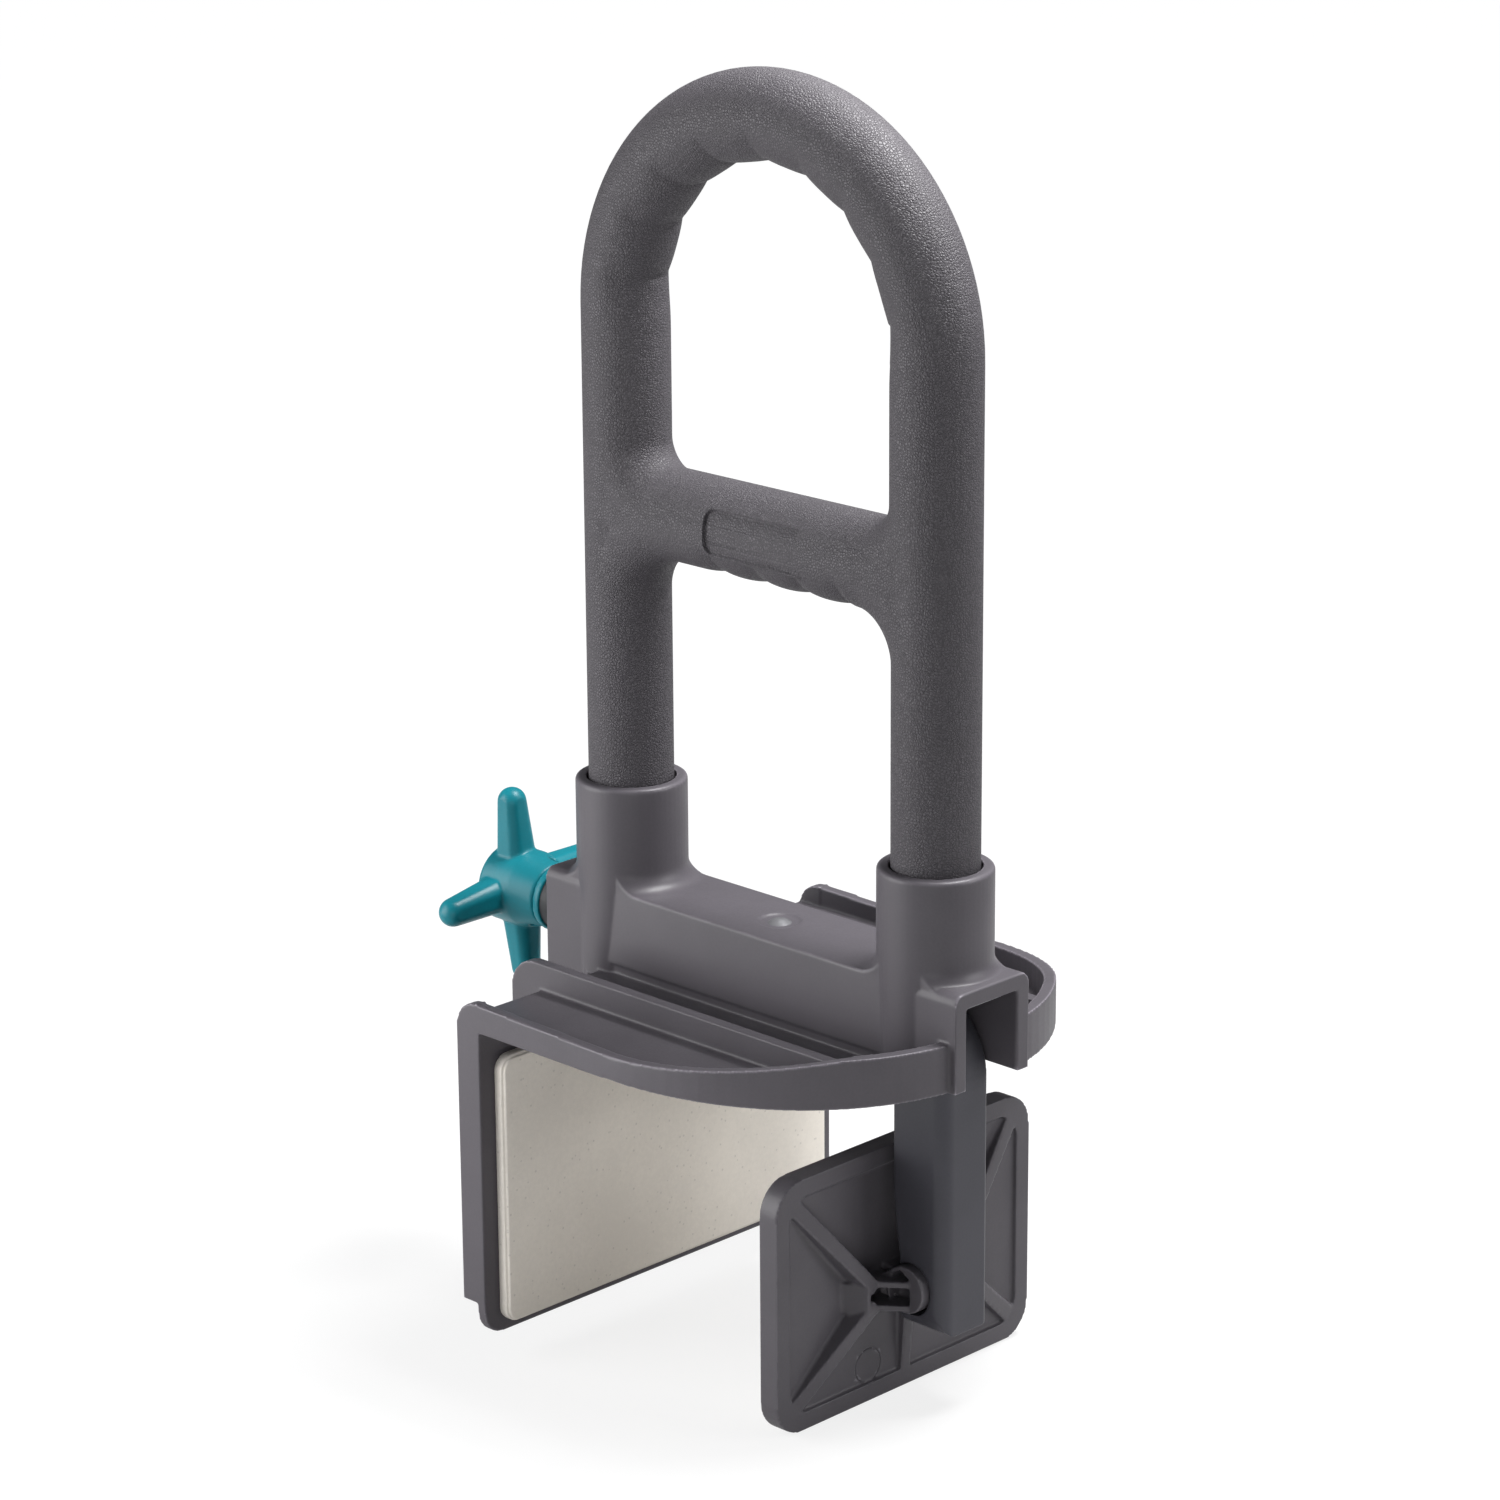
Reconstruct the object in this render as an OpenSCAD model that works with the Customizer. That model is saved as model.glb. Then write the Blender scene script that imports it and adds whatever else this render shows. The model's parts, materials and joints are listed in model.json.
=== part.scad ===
// Bathtub grab bar: a hoop handle on a saddle that clamps over the wall of a tub.
// Z = 0 is the plane where the saddle rests on the tub rim, X runs along the clamp screw
// towards the moving jaw, and Y runs along the tub wall.

/* [Hoop handle] */
// Outside diameter of the grip
grip_d = 32; // [28:1:36]
// Distance between the axes of the two legs
leg_pitch = 153.2; // [146:1:166]
// Height of the centre of the arch above the tub rim
arch_z = 254; // [225:1:330]
// Number of finger grooves inside the arch
arch_grooves = 9; // [3:2:11]
// Angle between two grooves of the arch
arch_groove_step = 20; // [14:1:24]
// Depth of a finger groove
groove_depth = 1.5; // [0.8:0.1:2.4]
// How much thicker the grip is towards the inside of the arch
grip_swell = 1; // [0:0.1:3]
// Height of the centre of the crossbar above the tub rim
bar_z = 179; // [150:1:200]
// Height of the oval section of the crossbar
bar_h = 34; // [33:1:42]
// Number of finger grooves under the crossbar
bar_grooves = 3; // [1:2:5]
// Distance between two grooves of the crossbar
bar_groove_step = 21; // [16:1:24]
// Radius of the fillets above the crossbar
bar_top_fillet = 9; // [4:1:16]
// Radius of the fillets below the crossbar
bar_low_fillet = 16; // [8:1:24]
// Length of the bare label panel on the crossbar
panel_l = 46; // [20:1:60]
// Height of the bare label panel
panel_h = 16.5; // [8:0.5:20]
// Depth of the bare label panel
panel_depth = 0.8; // [0.4:0.1:1.5]

/* [Steel core] */
// Outside diameter of the steel tube inside the grip
core_d = 22; // [16:0.5:24]
// Wall of the steel tube
core_wall = 1.6; // [1.2:0.1:2.5]
// Length of the plug in each end of the tube
plug_l = 20; // [16:1:30]
// Thickness of the flange of each plug
plug_flange = 3; // [2:0.5:5]

/* [Saddle] */
// Height of the rims of the two sockets above the tub rim
socket_top = 74.4; // [64:1:90]
// Wall of a socket round the leg
socket_wall = 4.2; // [3:0.1:6]
// Height of the floor of the sockets
socket_floor = 38.4; // [37.4:0.5:44]
// Height of the top of the beam between the sockets
beam_top = 35; // [34.5:0.5:37]
// Half width of the top of the beam
beam_half = 18.5; // [17:0.5:20]
// Half width of the beam at its ledge
ledge_half = 20; // [19:0.5:21]
// Height of the ledge along the foot of the beam
ledge_z = 6.9; // [5:0.1:10]
// Distance from a leg axis to the end of the saddle
end_reach = 27.2; // [25:0.1:34]
// Half width of the two ends of the saddle
end_half = 19.3; // [18:0.1:20]
// Height of the two ends of the saddle
end_top = 36.4; // [35.5:0.5:38]
// Half width of the channel that the arm slides in
channel_half = 13.3; // [13.2:0.1:14]
// Height of the roof of the channel
channel_top = 30.4; // [30:0.1:31.4]
// Thickness of the wall at the closed end of the channel
end_wall = 9; // [6:0.5:12]
// Half width of the saddle along the tub wall
wing_half = 92.4; // [80:0.5:110]
// Place where the straight side of a wing turns into its curved front
wing_curve_x = 2; // [-20:1:20]
// Thickness of the floor of the wings
wing_floor = 2.5; // [2:0.25:3]
// Thickness of the rim round the wings
rim_t = 4.5; // [3:0.5:6]
// Height of the rim beside the fixed jaw
rim_jaw = 10.8; // [8:0.2:14]
// Height of the rim at its lowest, beside the near end of the beam
rim_low = 9; // [7:0.5:12]
// Height of the rim beside the mouth of the channel
rim_high = 18; // [15:0.5:22]
// Distance of each long rib from the middle
rib_y = 48; // [36:1:60]
// Thickness of each long rib
rib_t = 4.8; // [2.5:0.1:6]
// Height of the long ribs above the tub rim
rib_top = 12.9; // [8:0.1:16]

/* [Fixed jaw] */
// Place of the inner face of the fixed jaw
jaw_x = -62.7; // [-70:0.1:-60]
// Depth of the fixed jaw below the tub rim
jaw_drop = 120; // [95:0.5:130]
// Depth of the side flanges of the fixed jaw
flange_drop = 107.6; // [85:0.5:112]
// Width of the side flanges
flange_w = 11.7; // [8:0.5:14]
// Thickness of the wall of the fixed jaw
jaw_wall = 4; // [3:0.5:6]
// Radius of the lower corners of the jaw
jaw_corner = 9; // [6:1:20]
// How far the gussets behind the jaw stand back
gusset_back = 27.8; // [16:0.1:34]
// Depth of the gussets behind the jaw
gusset_drop = 90; // [50:1:95]

/* [Pads] */
// Thickness of both rubber pads
pad_t = 5; // [3:0.5:8]
// Half width of the pad on the fixed jaw
fixed_pad_half = 85.4; // [70:0.5:88]
// Depth of the top of the pad on the fixed jaw
fixed_pad_top = 10.5; // [5:0.5:20]
// Depth of the bottom of the pad on the fixed jaw
fixed_pad_low = 115.8; // [80:0.5:117]
// Margin from the edge of the swivel plate to its pad
swivel_pad_margin = 6; // [3:0.5:12]

/* [Clamp screw] */
// Height of the screw axis above the tub rim
screw_z = 16; // [15:0.1:17]
// Outside diameter of the screw
screw_d = 12; // [10:0.5:13]
// Distance from one turn of the thread to the next
screw_lead = 3; // [2:0.5:4]
// Depth of the thread
thread_depth = 1.3; // [0.8:0.1:1.8]
// Place of the free end of the screw
screw_tip = 36; // [30:1:40]
// Radial clearance of the screw in its nut and bushing
screw_gap = 0.08; // [0.05:0.01:0.1]

/* [Knob] */
// Place of the middle of the knob's arms
knob_x = -139.8; // [-146:0.1:-136]
// Length of each arm from the screw axis
knob_arm_l = 40; // [32:0.5:50]
// Width of each arm at the hub
arm_root_d = 14; // [11:0.5:16]
// Width of each arm at its tip
arm_tip_d = 10.2; // [8:0.2:12]
// Angle that the arms stand at
knob_turn = 4.6; // [-45:0.1:45]
// Diameter of the hub among the arms
hub_d = 32; // [28:0.5:38]
// Diameter of the ring at the back of the knob
ring_d = 26; // [22:0.5:28]

/* [Sliding arm] */
// Place of the front face of the arm at rest
arm_front = 91.8; // [88:0.1:94]
// Place of the back face of the arm at rest
arm_back = 67.3; // [66:0.1:69]
// Half width of the arm below the channel
arm_half = 11.7; // [10:0.1:12.5]
// Outer radius of the bend of the arm
arm_bend = 35; // [28:1:36]
// Clearance between the arm and the channel on each side
slide_gap = 0.4; // [0.3:0.05:0.8]
// Place of the end of the arm inside the channel
limb_end = -35; // [-45:1:-30]
// Depth of the bottom of the arm below the tub rim
arm_drop = 98.3; // [96:0.5:110]
// Width across the square nut
nut_w = 18; // [16:0.5:19]
// Thickness of the square nut
nut_t = 12; // [8:0.5:14]

/* [Swivel jaw] */
// Place of the back face of the swivel plate at rest
plate_back = 63; // [62:0.1:64]
// Thickness of the swivel plate
plate_t = 8.8; // [6:0.2:10]
// Half width of the swivel plate
plate_half = 67.2; // [55:0.5:80]
// Depth of the top edge of the swivel plate
plate_top = 33; // [28:0.5:40]
// Depth of the bottom edge of the swivel plate
plate_low = 130; // [115:0.5:135]
// Radius of the corners of the swivel plate
plate_corner = 13; // [6:1:18]
// Width of the raised border of the swivel plate
border_w = 7; // [4:0.5:10]
// Depth of the field inside the border
field_depth = 1.8; // [1:0.1:3]
// Place of the swivel axis
pivot_x = 75.9; // [75:0.1:77]
// Depth of the swivel axis below the tub rim
pivot_drop = 83.7; // [82:0.1:88]
// Diameter of the barrel that the plate swivels on
barrel_d = 18; // [16:0.5:20]
// Half length of the barrel
barrel_half = 15; // [13.5:0.5:20]
// Radial clearance of the barrel in the arm
barrel_gap = 0.08; // [0.05:0.01:0.1]
// Thickness of the stiffening fins along their tops
fin_t = 5; // [3:0.5:7]

/* [Hidden] */
$fn = 64;
grip_r = grip_d / 2;
leg_x = leg_pitch / 2;
// Clearances that more than one piece takes
socket_gap = 0.8;
fit_gap = 0.1;
cut = 1;
// Core tube
core_r = core_d / 2;
core_in_r = core_r - core_wall;
core_foot = socket_floor + plug_flange;
// Crossbar and its panel
bar_half_straight = (bar_h - grip_d) / 2;
groove_reach = grip_r + cut;
panel_r = 5;
fillet_inset = 0.1;
// Sockets and the saddle's ends
foot_half = ledge_half - 1;
socket_r = grip_r + socket_gap + socket_wall;
socket_round = 1.6;
end_x = leg_x + end_reach;
end_round = 4;
seat_r = 6.5;
// Wing outline: a straight side that runs on as a quarter of a squared ellipse
wing_back = jaw_x - flange_w;
wing_reach = 1.3;
wing_steps = 24;
wing_square = 0.93;
rim_rise_from = 6;
rim_rise_to = 84;
rim_rise_power = 1.6;
rim_steps = 12;
rim_corner = 10;
gusset_straight = 14;

// Leg screws, from below the roof of the channel
leg_screw_r = 2.5;
leg_head_r = 4.8;
leg_head_h = 2.6;
leg_pocket_r = 6;
leg_roof = 4;
leg_pocket_top = socket_floor - leg_roof;
leg_washer_r = 5.6;
leg_washer_t = 0.9;
leg_screw_l = 20;
// Wear strip under the roof of the channel
strip_room = 3;
limb_top = channel_top - strip_room;
strip_low = limb_top + slide_gap;
strip_half = 10;
strip_from = -60;
strip_end_back = 5;
strip_to = end_x - strip_end_back;
rivet_r = 2;
rivet_head_r = 4.5;
rivet_head_h = 1.5;
rivet_recess_r = 8;
rivet_recess = 0.8;
rivet_tail_r = 3.5;
rivet_tail_h = 1.5;
// Keeper plate in the underside
keeper_from = -58;
keeper_to = 24;
keeper_margin = 1.6;
keeper_half = foot_half - keeper_margin;
keeper_t = wing_floor;
keeper_screw_x = [-48, 14];
keeper_screw_out = 2;
keeper_screw_y = channel_half + keeper_screw_out;
keeper_head_r = 2;
keeper_screw_r = 1.2;
keeper_screw_l = 12;
// Arm
limb_half = channel_half - slide_gap;
limb_lift = 0.6;
limb_low = wing_floor + limb_lift;
limb_wide_to = 50;
limb_bore_r = screw_d / 2 + 0.6;
limb_bore_to = 72;
arm_round = 1.5;
arm_knee = 5;
lip_in = 5.4;
lip_x = pivot_x - lip_in;
nut_from = -29;
nut_gap = 0.15;
// Screw train, from the end wall outwards
bush_r = 8;
collar_r = ring_d / 2 - 0.6;
bush_flange = 3;
washer_t = 1.6;
knob_depth = 24;
ring_face = knob_x + knob_depth;
ring_t = 3;
screw_in_knob = 4;
screw_head_from = knob_x - screw_in_knob;
wall_in_x = -end_x + end_wall;
end_washer_t = 1;
clip_t = 1.2;
clip_groove_r = screw_d / 2 - 0.9;
thread_start = 8;
thread_from = wall_in_x + thread_start;
pin_r = 2;
pin_back = 14;
pin_x = knob_x + pin_back;
pin_lean = 24;
hub_neck_r = 12;
hub_groove = 1.4;
hub_groove_r = hub_neck_r - 1.8;
arm_corner = 1.1;
arm_foot = screw_d / 2 + 3;
hub_edge = 1;
hub_cap_t = 4;
hub_cap_in = 6;
// Swivel plate
plate_front = plate_back - plate_t;
plate_h = plate_low - plate_top;
pivot_z = -pivot_drop;
field_x = plate_back - field_depth;
// Rails beside the barrel, and the web that closes their outer ends
rail_half = 3.4;
rail_t = 2.4;
rail_z = pivot_z - 2.2;
rail_gap = 0.5;
neck_half = rail_half + rail_t;
neck_x = pivot_x - 6.2;
neck_y = barrel_half + 7;
web_y = neck_y + 5;
web_t = 1.5;
web_run = 6;
slot_depth = 6;
slot_front = 2.6;
block_half = 5;
fin_y = neck_y + 2;
fin_draft = 0.1;
fin_in = 2.6;
fin_tail = 3;
spine_rise = 3;
pad_edge = 1;

// Square with round corners, drawn about its centre
module rounded(w, h, r) {
    square([w - 2 * r, h], center = true);
    square([w, h - 2 * r], center = true);
    for (sx = [-1, 1], sy = [-1, 1])
        translate([sx * (w / 2 - r), sy * (h / 2 - r)])
            circle(r);
}

// Raises a drawing made in X and Z to a solid that is centred on Y = 0
module across(width) {
    rotate([90, 0, 0])
        translate([0, 0, -width / 2])
            linear_extrude(width)
                children();
}

// Raises a drawing made in Y and Z to a solid that starts at x
module along(x, length) {
    translate([x, 0, 0])
        rotate([90, 0, 90])
            linear_extrude(length)
                children();
}

// A rod along X that starts at x on the screw axis
module on_screw(x, length, r1, r2) {
    translate([x, 0, screw_z])
        rotate([0, 90, 0])
            cylinder(h = length, r1 = r1, r2 = r2);
}

// Round section that is drawn out by a swell towards -X
module swelled(r, swell) {
    circle(r);
    if (swell > 0) {
        translate([-swell, 0])
            circle(r);
        translate([-swell, -r])
            square([swell, 2 * r]);
    }
}

// Half a ring in the plane of the hoop, thicker inside by a swell
module arch(r, swell = 0) {
    translate([0, 0, arch_z])
        rotate([90, 0, 0])
            rotate_extrude(angle = 180)
                translate([leg_x, 0])
                    swelled(r, swell);
}

// Two upright rods between two heights
module legs(r, from, to = arch_z) {
    for (s = [-1, 1])
        translate([s * leg_x, 0, from])
            cylinder(h = to - from, r = r);
}

// The legs above the crossbar, thicker inside by the swell
module upper_legs() {
    for (a = [0, 180])
        rotate([0, 0, a])
            translate([leg_x, 0, bar_z])
                linear_extrude(arch_z - bar_z)
                    swelled(grip_r, grip_swell);
}

// Oval of the crossbar, drawn in Y and Z
module bar_oval(r) {
    for (s = [-1, 1])
        translate([0, bar_z + s * bar_half_straight])
            circle(r);
    translate([-r, bar_z - bar_half_straight])
        square([2 * r, 2 * bar_half_straight]);
}

// Quarter of a ring that carries the grip from a leg round into the crossbar
module bar_fillet(fillet_r) {
    rotate([90, 0, 180])
        mirror([0, 1, 0])
            rotate_extrude(angle = 90)
                translate([fillet_r + grip_r, 0])
                    circle(grip_r - fillet_inset);
}

// Fillets between the crossbar and the left leg
module bar_fillets() {
    translate([grip_r + grip_swell - leg_x + bar_top_fillet, 0, bar_z + bar_h / 2 + bar_top_fillet])
        bar_fillet(bar_top_fillet);
    translate([grip_r - leg_x + bar_low_fillet, 0, bar_z - bar_h / 2 - bar_low_fillet])
        mirror([0, 0, 1])
            bar_fillet(bar_low_fillet);
}

// Sharp prism that cuts one finger groove
module groove_cutter() {
    rotate([0, 45, 0])
        cube([groove_depth * 1.414, 2 * groove_reach, groove_depth * 1.414], center = true);
}

module handle_grip() {
    color("#55525A")
        difference() {
            union() {
                arch(grip_r, grip_swell);
                upper_legs();
                legs(grip_r, socket_floor, bar_z);
                along(-leg_x, leg_pitch)
                    bar_oval(grip_r);
                bar_fillets();
                mirror([1, 0, 0])
                    bar_fillets();
            }
            arch(core_r + fit_gap);
            legs(core_r + fit_gap, socket_floor - cut);
            for (i = [0 : arch_grooves - 1])
                translate([0, 0, arch_z])
                    rotate([0, (i - (arch_grooves - 1) / 2) * arch_groove_step, 0])
                        translate([0, 0, leg_x - grip_r - grip_swell])
                            groove_cutter();
            for (i = [0 : bar_grooves - 1])
                translate([(i - (bar_grooves - 1) / 2) * bar_groove_step, 0, bar_z - bar_h / 2])
                    groove_cutter();
            label_recess();
        }
}

// Shallow recess that follows the curve of the crossbar
module label_recess() {
    intersection() {
        across(2 * grip_d)
            translate([1, bar_z + 1.5])
                rounded(panel_l, panel_h, panel_r);
        translate([-panel_l, -2 * grip_d, 0])
            cube([2 * panel_l, 2 * grip_d, arch_z]);
        difference() {
            along(-panel_l, 2 * panel_l)
                bar_oval(grip_r + cut);
            along(-panel_l - cut, 2 * panel_l + 2 * cut)
                bar_oval(grip_r - panel_depth);
        }
    }
}

module steel_core() {
    color("#A9ADB2")
        difference() {
            union() {
                arch(core_r);
                legs(core_r, core_foot);
            }
            arch(core_in_r);
            legs(core_in_r, core_foot - cut);
        }
}

// Plastic plug that closes a tube end and takes the leg screw
module leg_plug(x) {
    color("#2B2B2E")
        translate([x, 0, socket_floor])
            difference() {
                union() {
                    cylinder(h = plug_flange, r = core_r - fit_gap);
                    cylinder(h = plug_flange + plug_l, r = core_in_r - fit_gap);
                }
                translate([0, 0, -cut])
                    cylinder(h = leg_screw_l + cut, r = leg_screw_r + fit_gap / 2);
            }
}

module leg_plug_left() {
    leg_plug(-leg_x);
}

module leg_plug_right() {
    leg_plug(leg_x);
}

// Pan head screws that hold the legs down, driven from inside the channel
module leg_screws() {
    head_top = leg_pocket_top - leg_washer_t;
    color("#B9BCC0")
        for (s = [-1, 1])
            translate([s * leg_x, 0, head_top])
                difference() {
                    union() {
                        translate([0, 0, -leg_head_h])
                            cylinder(h = leg_head_h, r = leg_head_r);
                        cylinder(h = leg_screw_l, r = leg_screw_r);
                    }
                    translate([0, 0, -leg_head_h - cut])
                        cylinder(h = leg_head_h / 2 + cut, r = leg_screw_r, $fn = 6);
                }
}

module leg_washers() {
    color("#B9BCC0")
        for (s = [-1, 1])
            translate([s * leg_x, 0, leg_pocket_top - leg_washer_t])
                difference() {
                    cylinder(h = leg_washer_t, r = leg_washer_r);
                    translate([0, 0, -cut])
                        cylinder(h = leg_washer_t + 2 * cut, r = leg_screw_r + fit_gap);
                }
}

// Outline of one wing in plan, inset by a distance
module wing_plan(inset) {
    reach = end_x - wing_reach - wing_curve_x - inset;
    half = wing_half - inset;
    curve = [for (i = [0 : wing_steps])
        [wing_curve_x + reach * pow(sin(90 * i / wing_steps), wing_square),
            -half * pow(cos(90 * i / wing_steps), wing_square)]];
    polygon(concat([[wing_back, 0], [wing_back, -half]], curve));
}

// Rim of one wing with its rising top
module wing_rim() {
    difference() {
        linear_extrude(rim_high)
            difference() {
                wing_plan(0);
                wing_plan(rim_t);
                translate([wing_back - cut, -2 * wing_half])
                    square([rim_corner + cut, 2 * wing_half]);
                translate([end_x - rim_t * 2, -end_half])
                    square(end_half);
            }
        across(3 * wing_half)
            polygon(rim_slope());
    }
}

// Side view of what is cut away above the rim, low at the jaw and high at the mouth
function rim_slope() = concat(
    [[2 * wing_back, 2 * rim_high], [2 * wing_back, rim_jaw], [wing_back, rim_jaw]],
    [for (i = [0 : rim_steps])
        [rim_rise_from + (rim_rise_to - rim_rise_from) * i / rim_steps,
            rim_low + (rim_high - rim_low) * pow(i / rim_steps, rim_rise_power)]],
    [[rim_rise_to, 2 * rim_high]]
);

// One wing: floor, rim and long rib
module wing() {
    linear_extrude(wing_floor)
        wing_plan(0);
    wing_rim();
    intersection() {
        translate([wing_back, -rib_y - rib_t / 2, 0])
            cube([end_x - wing_back, rib_t, rib_top]);
        linear_extrude(rim_high)
            wing_plan(rim_t / 2);
    }
}

// Fixed jaw: wall, side flanges and the gussets behind it
module fixed_jaw() {
    intersection() {
        along(jaw_x - jaw_wall, jaw_wall)
            translate([0, (wing_floor - jaw_drop) / 2])
                rounded(2 * wing_half, jaw_drop + wing_floor, jaw_corner);
        translate([wing_back, -wing_half, -jaw_drop])
            cube([2 * flange_w, 2 * wing_half, jaw_drop + wing_floor]);
    }
    for (s = [-1, 1])
        translate([0, s * (wing_half - rib_t / 2), 0])
            across(rib_t)
                flange_profile();
    for (s = [-1, 1])
        translate([0, s * rib_y, 0])
            across(rib_t)
                gusset_profile();
    translate([wing_back, -wing_half, 0])
        cube([flange_w, 2 * wing_half, wing_floor]);
    translate([wing_back, -wing_half, -flange_drop])
        cube([flange_w, 2 * wing_half, jaw_wall]);
    translate([wing_back + jaw_wall, -wing_half, -flange_drop / 2])
        cube([flange_w - jaw_wall, 2 * wing_half, jaw_wall]);
}

// Side flange with its rounded upper corner
module flange_profile() {
    translate([wing_back, -flange_drop])
        square([flange_w, flange_drop + rim_jaw - rim_corner]);
    intersection() {
        translate([wing_back + rim_corner, rim_jaw - rim_corner])
            circle(rim_corner);
        translate([wing_back, rim_jaw - rim_corner])
            square(rim_corner);
    }
    translate([wing_back + rim_corner, 0])
        square([cut, rim_jaw]);
}

// Gusset behind the jaw, which is the rounded end of a long rib
module gusset_profile() {
    back = jaw_x - gusset_back;
    intersection() {
        translate([back + rib_top, 0])
            circle(rib_top);
        translate([back, 0])
            square(2 * rib_top);
    }
    translate([back + rib_top, 0])
        square([jaw_x - jaw_wall - back - rib_top, rib_top]);
    polygon([
        [back, 0],
        [jaw_x - jaw_wall, 0],
        [jaw_x - jaw_wall, -gusset_drop],
        [wing_back + jaw_wall, -gusset_drop],
        [back, -gusset_straight]
    ]);
}

// Beam between the sockets, drawn in Y and Z
module beam_section() {
    polygon([
        [-foot_half, 0],
        [-foot_half, ledge_z - ledge_half + foot_half],
        [-ledge_half, ledge_z],
        [-beam_half, beam_top],
        [beam_half, beam_top],
        [ledge_half, ledge_z],
        [foot_half, ledge_z - ledge_half + foot_half],
        [foot_half, 0]
    ]);
}

// End of the saddle with rounded upper edges, drawn in Y and Z
module end_section() {
    translate([-end_half, 0])
        square([2 * end_half, end_top - end_round]);
    translate([-end_half + end_round, end_top - 2 * end_round])
        square([2 * (end_half - end_round), 2 * end_round]);
    for (s = [-1, 1])
        translate([s * (end_half - end_round), end_top - end_round])
            circle(end_round);
}

// Socket with a rounded mouth
module socket_body() {
    rotate_extrude() {
        square([socket_r, socket_top - socket_round]);
        square([socket_r - socket_round, socket_top]);
        translate([socket_r - socket_round, socket_top - socket_round])
            circle(socket_round, $fn = 32);
    }
}

// Flare at the foot of a socket, where it runs out on the beam
module socket_flare() {
    translate([0, 0, beam_top - 0.5])
        rotate_extrude()
            difference() {
                square([socket_r + seat_r, seat_r + 0.5]);
                translate([socket_r + seat_r, seat_r + 0.5])
                    circle(seat_r);
            }
}

// Flare kept within the width of the beam
module flares() {
    intersection() {
        for (s = [-1, 1])
            translate([s * leg_x, 0, 0])
                socket_flare();
        translate([-end_x, -beam_half, 0])
            cube([2 * end_x, 2 * beam_half, socket_top]);
    }
}

module saddle_base() {
    color("#5A565C")
        difference() {
            union() {
                along(-leg_x, leg_pitch)
                    beam_section();
                for (s = [-1, 1])
                    along(s > 0 ? leg_x : -end_x, end_reach)
                        end_section();
                for (s = [-1, 1])
                    translate([s * leg_x, 0, 0])
                        socket_body();
                flares();
                wing();
                mirror([0, 1, 0])
                    wing();
                fixed_jaw();
            }
            saddle_channel();
            for (s = [-1, 1])
                translate([s * leg_x, 0, 0])
                    socket_cuts();
            keeper_pocket();
            translate([0, 0, beam_top - rivet_recess])
                cylinder(h = rivet_head_h + cut, r = rivet_recess_r);
            translate([0, 0, channel_top - cut])
                cylinder(h = beam_top, r = rivet_r + fit_gap / 2);
            on_screw(-end_x - cut, end_wall + 2 * cut, bush_r + fit_gap / 2, bush_r + fit_gap / 2);
        }
}

// Channel for the arm, open to the front and, ahead of the jaw, to the tub
module saddle_channel() {
    translate([wall_in_x, -channel_half, wing_floor])
        cube([2 * end_x, 2 * channel_half, channel_top - wing_floor]);
    translate([keeper_from, -channel_half, -cut])
        cube([2 * end_x, 2 * channel_half, channel_top]);
}

// Bore for the leg, and the way up for its screw
module socket_cuts() {
    translate([0, 0, socket_floor])
        cylinder(h = socket_top, r = grip_r + socket_gap);
    translate([0, 0, channel_top - cut])
        cylinder(h = leg_pocket_top - channel_top + cut, r = leg_pocket_r);
    translate([0, 0, channel_top])
        cylinder(h = socket_floor, r = leg_screw_r + fit_gap);
}

// Seat for the keeper plate and the pilot holes of its screws
module keeper_pocket() {
    translate([keeper_from - fit_gap, -keeper_half - fit_gap, -cut])
        cube([keeper_to - keeper_from + 2 * fit_gap, 2 * (keeper_half + fit_gap), wing_floor + cut]);
    for (x = keeper_screw_x, s = [-1, 1])
        translate([x, s * keeper_screw_y, 0])
            cylinder(h = wing_floor + keeper_screw_l, r = keeper_screw_r + fit_gap / 2);
}

// Steel strip that the arm bears on
module wear_strip() {
    color("#9EA2A6")
        difference() {
            translate([strip_from, -strip_half, strip_low])
                cube([strip_to - strip_from, 2 * strip_half, channel_top - strip_low]);
            translate([leg_x, 0, strip_low - cut])
                cylinder(h = channel_top, r = leg_pocket_r);
            translate([0, 0, strip_low - cut])
                cylinder(h = channel_top, r = rivet_r + fit_gap / 2);
            translate([0, 0, strip_low - fit_gap])
                cylinder(h = rivet_tail_h + fit_gap, r1 = rivet_tail_r + fit_gap, r2 = rivet_r);
        }
}

// Rivet with a domed head in the recess of the beam
module strip_rivet() {
    seat = beam_top - rivet_recess;
    dome_r = (rivet_head_r * rivet_head_r + rivet_head_h * rivet_head_h) / (2 * rivet_head_h);
    color("#B4B2B6") {
        intersection() {
            translate([0, 0, seat])
                cylinder(h = rivet_head_h, r = rivet_head_r);
            translate([0, 0, seat + rivet_head_h - dome_r])
                sphere(dome_r);
        }
        translate([0, 0, strip_low + cut])
            cylinder(h = seat - strip_low - cut / 2, r = rivet_r);
        translate([0, 0, strip_low])
            cylinder(h = rivet_tail_h, r1 = rivet_tail_r - fit_gap, r2 = rivet_r - fit_gap);
    }
}

// Steel plate that keeps the arm up in the channel
module keeper_plate() {
    color("#8E9297")
        difference() {
            translate([keeper_from, -keeper_half, wing_floor - keeper_t])
                cube([keeper_to - keeper_from, 2 * keeper_half, keeper_t]);
            for (x = keeper_screw_x, s = [-1, 1])
                translate([x, s * keeper_screw_y, wing_floor - keeper_t])
                    keeper_hole();
        }
}

// Countersunk hole
module keeper_hole() {
    translate([0, 0, -fit_gap])
        cylinder(h = keeper_t - 0.2 + fit_gap, r1 = keeper_head_r + fit_gap, r2 = keeper_screw_r);
    translate([0, 0, -cut])
        cylinder(h = keeper_t + 2 * cut, r = keeper_screw_r + fit_gap);
}

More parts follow.
